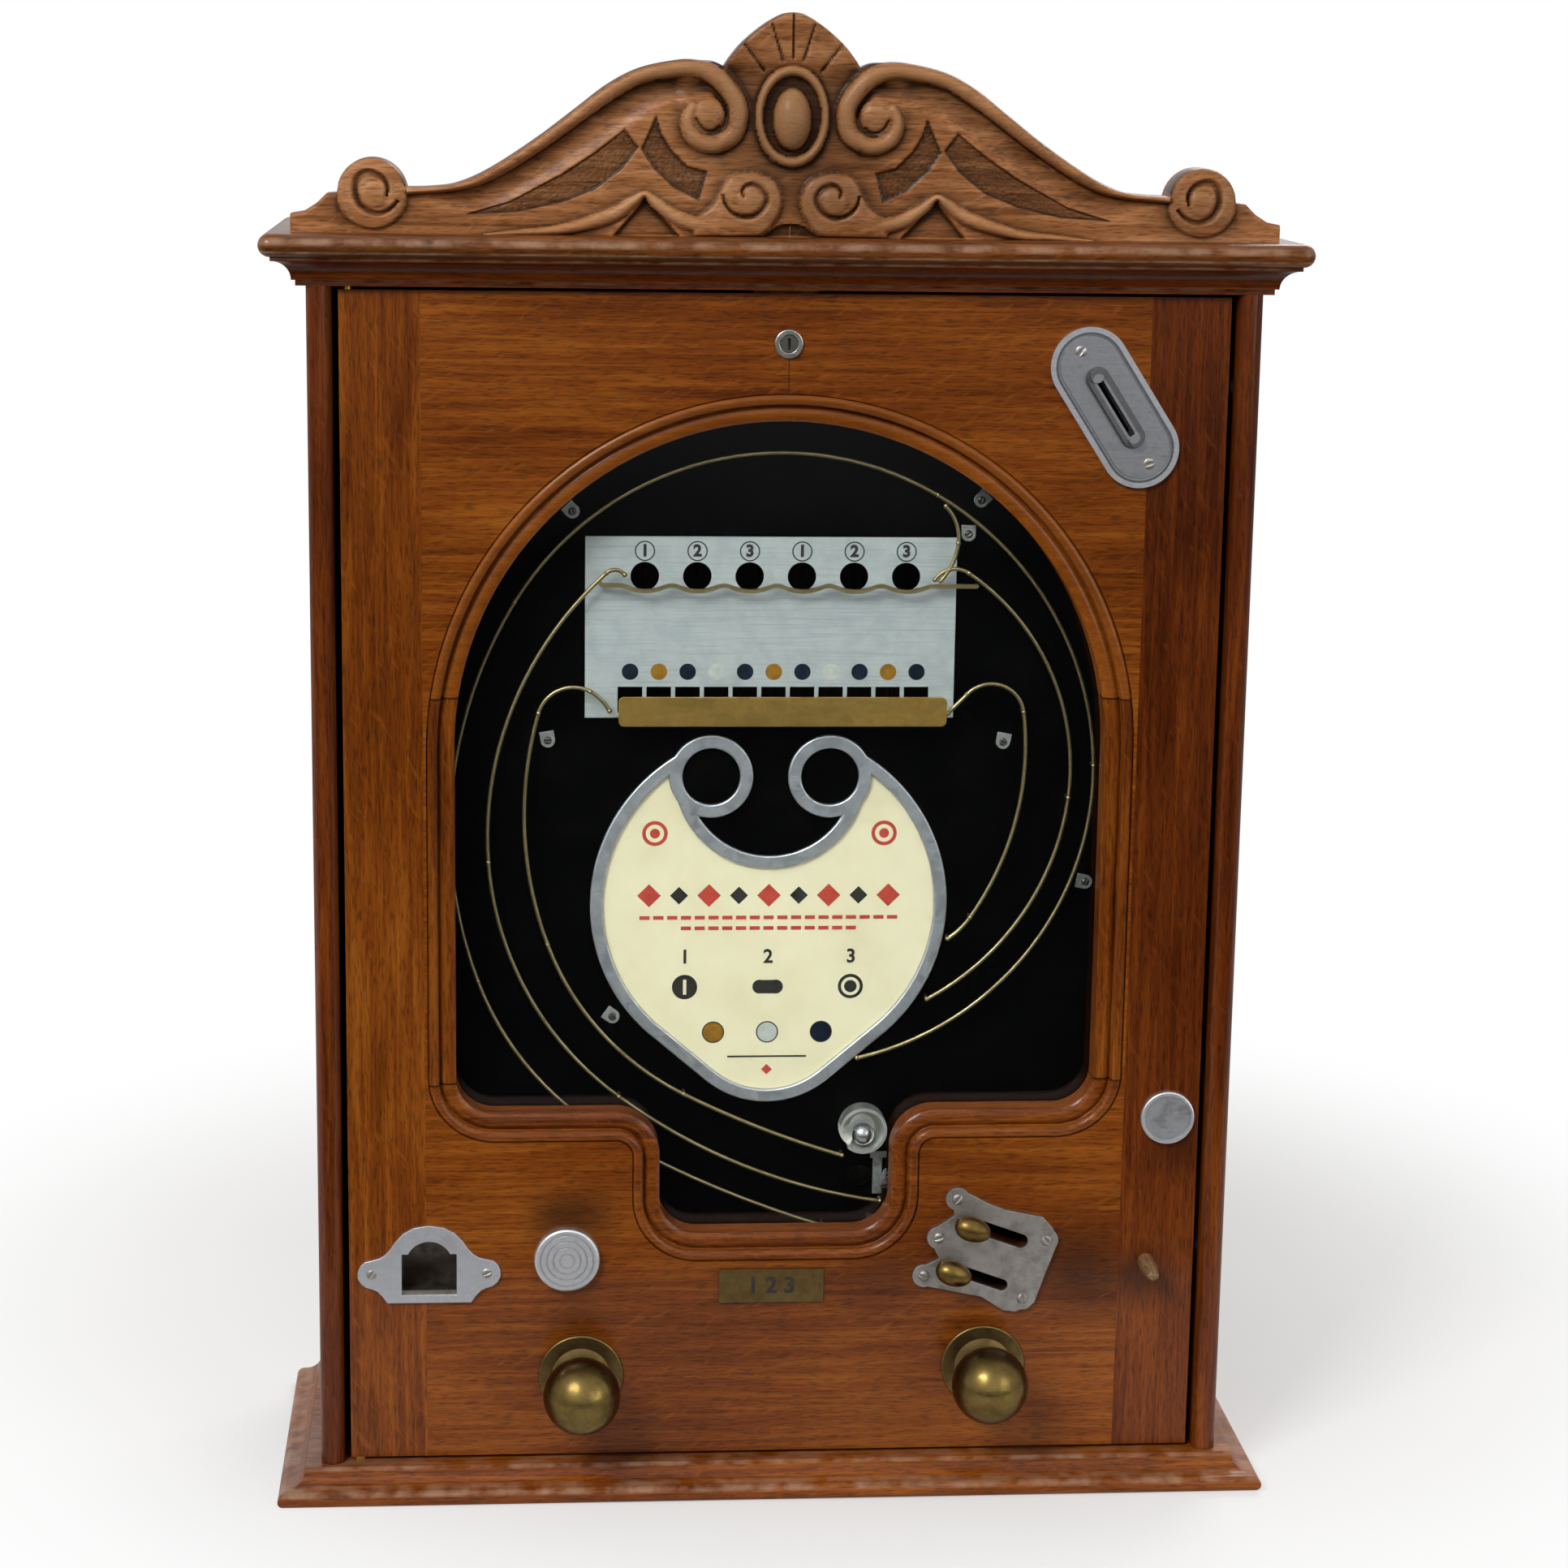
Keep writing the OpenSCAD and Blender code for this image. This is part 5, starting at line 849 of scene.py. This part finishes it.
def new_tree(name, inputs):
    """A Geometry Nodes tree with its points, the named inputs, a finish and the nodes at its two ends."""
    tree = bpy.data.node_groups.new(name, "GeometryNodeTree")
    sockets = {"Points": "NodeSocketGeometry", **inputs, "Finish": "NodeSocketMaterial"}
    for label, kind in sockets.items():
        tree.interface.new_socket(label, in_out="INPUT", socket_type=kind)
    tree.interface.new_socket("Pieces", in_out="OUTPUT", socket_type="NodeSocketGeometry")
    return tree, tree.nodes.new("NodeGroupInput").outputs, tree.nodes.new("NodeGroupOutput").inputs


def set_on_points(tree, given, result, shape, rotation):
    """Ends a tree: its shape is set on each point, made real and given its finish."""
    set_on = add(tree, "GeometryNodeInstanceOnPoints", {"Points": given["Points"], "Instance": shape,
                                                        "Rotation": rotation})
    real = add(tree, "GeometryNodeRealizeInstances", {"Geometry": set_on})
    done = add(tree, "GeometryNodeSetMaterial", {"Geometry": real, "Material": given["Finish"]})
    tree.links.new(done.outputs[0], result["Pieces"])
    return tree


def dots_tree():
    """Flat dots that face forward, one on each point: round ones, or lozenges where they have four sides."""
    tree, given, result = new_tree("painted_dots", {
        "Diameter": "NodeSocketFloat", "Thickness": "NodeSocketFloat", "Sides": "NodeSocketInt"})
    radius = add(tree, "ShaderNodeMath", {0: given["Diameter"], 1: 0.5}, operation="MULTIPLY")
    disc = add(tree, "GeometryNodeMeshCylinder", {"Vertices": given["Sides"], "Radius": radius,
                                                  "Depth": given["Thickness"]})
    return set_on_points(tree, given, result, disc, (math.pi / 2, 0, 0))


# a screw's head: a square grid is drawn in to a round one, swells to its middle and sinks in the slot
# each step has its result, its operation and its terms
SCREW_STEPS = (
    ("x_square", "MULTIPLY", "x", "x"), ("y_draw", "MULTIPLY_ADD", "x_square", -0.5, 1.0),
    ("y_draw", "SQRT", "y_draw"), ("v", "MULTIPLY", "y", "y_draw"),
    ("y_square", "MULTIPLY", "y", "y"), ("x_draw", "MULTIPLY_ADD", "y_square", -0.5, 1.0),
    ("x_draw", "SQRT", "x_draw"), ("u", "MULTIPLY", "x", "x_draw"),
    ("v_square", "MULTIPLY", "v", "v"), ("square", "MULTIPLY_ADD", "u", "u", "v_square"),
    ("fall", "POWER", "square", 2.5), ("swell", "SUBTRACT", 1.0, "fall"),
    ("slot_half", "DIVIDE", "Slot Width", "Diameter"), ("off", "ABSOLUTE", "v"),
    ("in_slot", "LESS_THAN", "off", "slot_half"), ("sunk", "MULTIPLY", "in_slot", 0.75),
    ("floor", "SUBTRACT", 1.0, "sunk"), ("level", "MINIMUM", "swell", "floor"),
    ("radius", "MULTIPLY", "Diameter", 0.5),
    ("X", "MULTIPLY", "u", "radius"), ("Y", "MULTIPLY", "v", "radius"), ("Z", "MULTIPLY", "level", "Height"),
)
SCREW_GRID = 29


def screws_tree():
    """Round-headed slotted screws that face forward, one on each point, turned by the point's own angle."""
    tree, given, result = new_tree("slotted_screws", {
        "Diameter": "NodeSocketFloat", "Height": "NodeSocketFloat", "Slot Width": "NodeSocketFloat"})
    grid = add(tree, "GeometryNodeMeshGrid", {"Size X": 2.0, "Size Y": 2.0, "Vertices X": SCREW_GRID,
                                              "Vertices Y": SCREW_GRID})
    split = add(tree, "ShaderNodeSeparateXYZ", {0: add(tree, "GeometryNodeInputPosition")}).outputs
    values = {"x": split["X"], "y": split["Y"]}
    values.update((label, given[label]) for label in ("Diameter", "Height", "Slot Width"))
    for name, operation, *terms in SCREW_STEPS:
        terms = {i: values.get(term, term) for i, term in enumerate(terms)}
        values[name] = add(tree, "ShaderNodeMath", terms, operation=operation)
    place = add(tree, "ShaderNodeCombineXYZ", {axis: values[axis] for axis in "XYZ"})
    head = add(tree, "GeometryNodeSetPosition", {"Geometry": grid, "Position": place})
    under = add(tree, "GeometryNodeTransform", {"Geometry": head, "Scale": (1, 1, 0)})
    under = add(tree, "GeometryNodeFlipFaces", {"Mesh": under})
    whole = add(tree, "GeometryNodeJoinGeometry")
    for half in (under, head):
        tree.links.new(half.outputs[0], whole.inputs[0])
    closed = add(tree, "GeometryNodeMergeByDistance", {"Geometry": whole, "Distance": 0.01 * MM})
    smooth = add(tree, "GeometryNodeSetShadeSmooth", {"Geometry": closed, "Shade Smooth": True})
    turn = add(tree, "GeometryNodeInputNamedAttribute", {"Name": "turn"}, data_type="FLOAT")
    rotation = add(tree, "ShaderNodeCombineXYZ", {"X": math.pi / 2, "Y": turn})
    return set_on_points(tree, given, result, smooth, rotation)


def grow(name, tree, places, depth, inputs, body, turns=None):
    """Pieces made by a tree on places at a depth behind the door's face, as one plain mesh."""
    mesh = bpy.data.meshes.new(name + "_points")
    points = np.array([(x, DOOR_FACE + depth, z) for x, z in places], float)
    mesh.from_pydata((points * MM).tolist(), [], [])
    if turns is not None:
        mesh.attributes.new("turn", "FLOAT", "POINT").data.foreach_set("value", turns)
    seed = placed(name + "_points", mesh)
    grown = seed.modifiers.new("grown", "NODES")
    grown.node_group = tree
    for socket in tree.interface.items_tree:
        if socket.in_out == "INPUT" and socket.name in inputs:
            grown[socket.identifier] = inputs[socket.name]
    fitted(name, settled(seed, name), body)


dots = dots_tree()
screws = screws_tree()


def dot_set(name, places, depth, diameter, thickness, finish, sides=32):
    """Dots of one size and colour, printed on a face at a depth behind the door's face."""
    sizes = {"Diameter": diameter * MM, "Thickness": thickness * MM, "Sides": sides, "Finish": finish}
    grow(name, dots, places, depth, sizes, "door")


# Coloured dots over the pockets of the score plate

DOT_ROW, DOT_MIDDLE, DOT_PITCH = 455.8, -2.6, 15.6
for name, finish, places in (("blue_dots", dot_blue, range(0, 11, 2)), ("gold_dots", dot_gold, (1, 5, 9)),
                             ("white_dots", dot_white, (3, 7))):
    row = [(DOT_MIDDLE + (i - 5) * DOT_PITCH, DOT_ROW) for i in places]
    dot_set(name, row, SCORE_FACE, 9, 0.24, finish)

# Slotted screws on the plates and lugs

TRIGGER_SCREWS = [(100.4, 167.5), (90.4, 145.2), (82.7, 123.2), (150.6, 142.9), (137.9, 109.3)]
LUG_SCREWS = [(-112, 543), (108.5, 550), (102, 531.5), (-125, 418), (124, 417), (-89.3, 262.5), (172, 338)]
COIN_STEP = COIN_STRAIGHT + COIN_RADIUS * 0.46
COIN_SCREWS = [(COIN_CENTRE[0] + s * math.sin(COIN_LEAN), COIN_CENTRE[1] - s * math.cos(COIN_LEAN))
               for s in (-COIN_STEP, COIN_STEP)]
PAYOUT_SCREWS = [(PAYOUT_CENTRE[0] + s, PAYOUT_CENTRE[1]) for s in (-31.5, 31.5)]
SLOT_SHARE = 0.22


def screw_set(name, places, depth, diameter, height, finish):
    """Screws on one plate, whose face is at a depth behind the door's face, each at an angle of its own."""
    turns = [math.radians((37 * i + 61 * len(places)) % 180) for i in range(len(places))]
    sizes = {"Diameter": diameter * MM, "Height": height * MM, "Slot Width": SLOT_SHARE * diameter * MM,
             "Finish": finish}
    grow(name, screws, places, depth, sizes, "door", turns)


screw_set("trigger_plate_screws", TRIGGER_SCREWS, -2.95, 6.4, 1.3, sheet_steel)
screw_set("lug_screws", LUG_SCREWS, 36.52, 4.4, 1.0, dark_nickel)
screw_set("coin_plate_screws", COIN_SCREWS, -1.9, 7.0, 1.0, sheet_steel)
screw_set("payout_screws", PAYOUT_SCREWS, -1.95, 5.6, 0.7, sheet_steel)


# Printing, in layers that are thicker the later they are printed

FIRST_COAT, SECOND_COAT, THIRD_COAT, SINGLE_COAT = 0.2, 0.3, 0.4, 0.24
RULE_FRONT, RULE_BACK = -0.24, 0.1
NUMBER_COAT = 0.06
# size of the font for a numeral one high
FONT_SIZE = 1.36


def number(name, text, x, z, height, depth, bold, finish, slot):
    """A printed numeral, centred on a place."""
    curve = bpy.data.curves.new(name, "FONT")
    curve.body = text
    curve.align_x = "CENTER"
    curve.align_y = "CENTER"
    curve.size = height * FONT_SIZE * MM
    curve.extrude = NUMBER_COAT * MM
    curve.offset = bold * MM
    mesh = settled(placed(name + "_curve", curve), name)
    upright = Matrix.Rotation(math.pi / 2, 4, "X")
    mesh.transform(Matrix.Translation((x * MM, (DOOR_FACE + depth) * MM, z * MM)) @ upright)
    mesh.materials.clear()
    mesh.materials.append(finish)
    fitted(name, mesh, "door")


def printed_rules(name, rules, finish):
    """Straight rules printed on the card: each is its left end, its height, its length and its thickness."""
    points, faces = [], []
    for x, z, length, thickness in rules:
        k = len(points)
        low, high = z - thickness / 2, z + thickness / 2
        for y in (DOOR_FACE + CARD_FACE + RULE_FRONT, DOOR_FACE + CARD_FACE + RULE_BACK):
            points += [(x, y, low), (x + length, y, low), (x + length, y, high), (x, y, high)]
        faces += [(k, k + 1, k + 2, k + 3), (k + 7, k + 6, k + 5, k + 4), (k, k + 4, k + 5, k + 1),
                  (k + 1, k + 5, k + 6, k + 2), (k + 2, k + 6, k + 7, k + 3), (k + 3, k + 7, k + 4, k)]
    piece(name, points, faces, "door", finish, smooth=False)


# Ringed numbers over the score holes, and numbers on the brass plate

SCORE_PLACES = [(-2.2 + (i - 2.5) * 28.3, 521.7) for i in range(6)]
dot_set("score_rings", SCORE_PLACES, SCORE_FACE, 11, FIRST_COAT, ink_black)
dot_set("score_ring_faces", SCORE_PLACES, SCORE_FACE, 9.6, SECOND_COAT, score_paint)
for i, (x, z) in enumerate(SCORE_PLACES):
    number(f"score_number_{i + 1}", "123123"[i], x, z, 6.4, SCORE_FACE - 0.14, 0.42, ink_black, "score_blue")
number("plate_numbers", "1 2 3", *NAME_CENTRE, 9.5, -1.2, 0.4, ink_black, "aged_brass")

# Printed card: a row of lozenges, three numbered signs (coin, trigger and knob) and three coloured discs

LOZENGES = [(CARD_X + i * 16.5, 331) for i in range(-4, 5)]
COLUMNS = [CARD_X - 46, CARD_X, CARD_X + 46]
NUMBER_ROW, SIGN_ROW, DISC_ROW, CLOSING_ROW = 296, 279, 253, 239
HORNS = [(CARD_X - 63, 366), (CARD_X + 63, 366)]
dot_set("red_lozenges", LOZENGES[::2], CARD_FACE, 13, SINGLE_COAT, ink_red, sides=4)
dot_set("black_lozenges", LOZENGES[1::2], CARD_FACE, 10, SINGLE_COAT, ink_black, sides=4)
for name, diameter, coat, finish in (("horn_rings", 14, FIRST_COAT, ink_red),
                                     ("horn_gaps", 10, SECOND_COAT, card_paper),
                                     ("horn_dots", 5.5, THIRD_COAT, ink_red)):
    dot_set(name, HORNS, CARD_FACE, diameter, coat, finish)
dashes = [(x, z, 5.6, 2.0) for z, count in ((318.5, 19), (312.5, 13))
          for x in CARD_X + (np.arange(count) - count / 2) * 7.6 + 1]
printed_rules("red_dashes", dashes, ink_red)
for i, x in enumerate(COLUMNS):
    number(f"card_number_{i + 1}", str(i + 1), x, NUMBER_ROW, 8, CARD_FACE - 0.1, 0.25, ink_black, "card")
coin_x, trigger_x, knob_x = COLUMNS
dot_set("coin_sign", [(coin_x, SIGN_ROW)], CARD_FACE, 14, FIRST_COAT, ink_black)
printed_rules("coin_sign_slot", [(coin_x - 0.9, SIGN_ROW, 1.8, 8.5)], card_paper)
dot_set("trigger_sign_ends", [(trigger_x - 4.5, SIGN_ROW), (trigger_x + 4.5, SIGN_ROW)], CARD_FACE, 8,
        FIRST_COAT, ink_black)
printed_rules("trigger_sign_bar", [(trigger_x - 4.5, SIGN_ROW, 9, 7.6)], ink_black)
for name, diameter, coat, finish in (("knob_sign", 14, FIRST_COAT, ink_black),
                                     ("knob_sign_gap", 10.4, SECOND_COAT, card_paper),
                                     ("knob_sign_ball", 7, THIRD_COAT, ink_black)):
    dot_set(name, [(knob_x, SIGN_ROW)], CARD_FACE, diameter, coat, finish)
for step, name, finish in ((-30, "gold", dot_gold), (0, "white", dot_white), (30, "blue", dot_blue)):
    spot = [(CARD_X + step, DISC_ROW)]
    dot_set(f"{name}_disc_edge", spot, CARD_FACE, 12.4, FIRST_COAT, ink_black)
    dot_set(f"{name}_disc", spot, CARD_FACE, 11, SECOND_COAT, finish)
printed_rules("closing_rules", [(CARD_X - 22, CLOSING_ROW, 44, 0.9)], ink_black)
dot_set("closing_lozenge", [(CARD_X, 231.5)], CARD_FACE, 6, SINGLE_COAT, ink_red, sides=4)


# Floor, world and lamps, in metres

FLOOR_CORNERS = [(-9, -0.42, 0), (9, -0.42, 0), (9, 12, 0), (-9, 12, 0)]
FADE_CENTRE = (0.05, 0.28, 0.0)
LAMP_AIM = Vector((0, 0, 0.42))
LAMPS = (("key_lamp", (-1.5, -2.2, 2.4), 1.1, 70), ("fill_lamp", (1.9, -2.0, 1.1), 1.4, 13),
         ("back_lamp", (0.8, 1.6, 1.9), 1.2, 22))


def lay_floor():
    """A pale painted floor that keeps the shadow and fades to white away from the case."""
    material, tree = new_material("pale_floor")
    place = add(tree, "ShaderNodeTexCoord").outputs["Object"]
    cloud = add(tree, "ShaderNodeTexNoise", {"Vector": place, "Scale": 3.0, "Detail": 3.0})
    tint = add(tree, "ShaderNodeValToRGB", {"Fac": cloud}, [(0.3, "#e9e7e4"), (0.7, "#f0eeec")])
    paint = add(tree, "ShaderNodeBsdfPrincipled", {"Base Color": tint, "Roughness": 0.8})
    white = add(tree, "ShaderNodeEmission", {"Color": (1, 1, 1, 1), "Strength": 1.0})
    away = add(tree, "ShaderNodeVectorMath", {0: place, 1: FADE_CENTRE}, operation="DISTANCE")
    fade = add(tree, "ShaderNodeMapRange", {"Value": away, "From Min": 0.25, "From Max": 0.70, "To Min": 0.3},
               interpolation_type="SMOOTHSTEP")
    seen = add(tree, "ShaderNodeLightPath").outputs["Is Camera Ray"]
    amount = add(tree, "ShaderNodeMath", {0: fade, 1: seen}, operation="MULTIPLY")
    mixed = add(tree, "ShaderNodeMixShader", {0: amount, 1: paint, 2: white})
    add(tree, "ShaderNodeOutputMaterial", {"Surface": mixed})
    mesh = bpy.data.meshes.new("floor")
    mesh.from_pydata(FLOOR_CORNERS, [], [(0, 1, 2, 3)])
    mesh.materials.append(material)
    placed("floor", mesh)


def fill_room():
    """A room that is white to the eye, darker below for the light that it gives, and dimmer than it looks."""
    world = bpy.data.worlds.new("room")
    bpy.context.scene.world = world
    world.use_nodes = True
    tree = world.node_tree
    tree.nodes.clear()
    way = add(tree, "ShaderNodeSeparateXYZ", {0: add(tree, "ShaderNodeTexCoord").outputs["Generated"]})
    height = add(tree, "ShaderNodeMapRange", {"Value": way.outputs["Z"], "From Min": -1.0, "From Max": 1.0})
    shade = add(tree, "ShaderNodeValToRGB", {"Fac": height},
                [(0.43, 0.01), (0.49, 0.30), (0.57, 0.9), (0.75, 1.0)])
    ray = add(tree, "ShaderNodeLightPath").outputs
    room = add(tree, "ShaderNodeMix", {AMOUNT: ray["Is Camera Ray"], FIRST: shade, SECOND: (1, 1, 1, 1)},
               data_type="RGBA")
    shown = ray["Is Camera Ray"]
    for kind in ("Is Glossy Ray", "Is Transmission Ray"):
        shown = add(tree, "ShaderNodeMath", {0: shown, 1: ray[kind]}, operation="MAXIMUM")
    strength = add(tree, "ShaderNodeMapRange", {"Value": shown, "To Min": 0.28, "To Max": 1.0})
    sky = add(tree, "ShaderNodeBackground", {"Color": room, "Strength": strength})
    add(tree, "ShaderNodeOutputWorld", {"Surface": sky})


def hang_lamps():
    """Soft square lamps: the main one from the upper left, a weak one from the right, and one from behind."""
    for name, spot, size, power in LAMPS:
        data = bpy.data.lights.new(name, "AREA")
        data.size = size
        data.energy = power
        aim = LAMP_AIM - Vector(spot)
        lamp = placed(name, data)
        lamp.matrix_world = Matrix.Translation(spot) @ aim.to_track_quat("-Z", "Y").to_matrix().to_4x4()


lay_floor()
fill_room()
hang_lamps()
bpy.context.scene.view_settings.view_transform = "Standard"
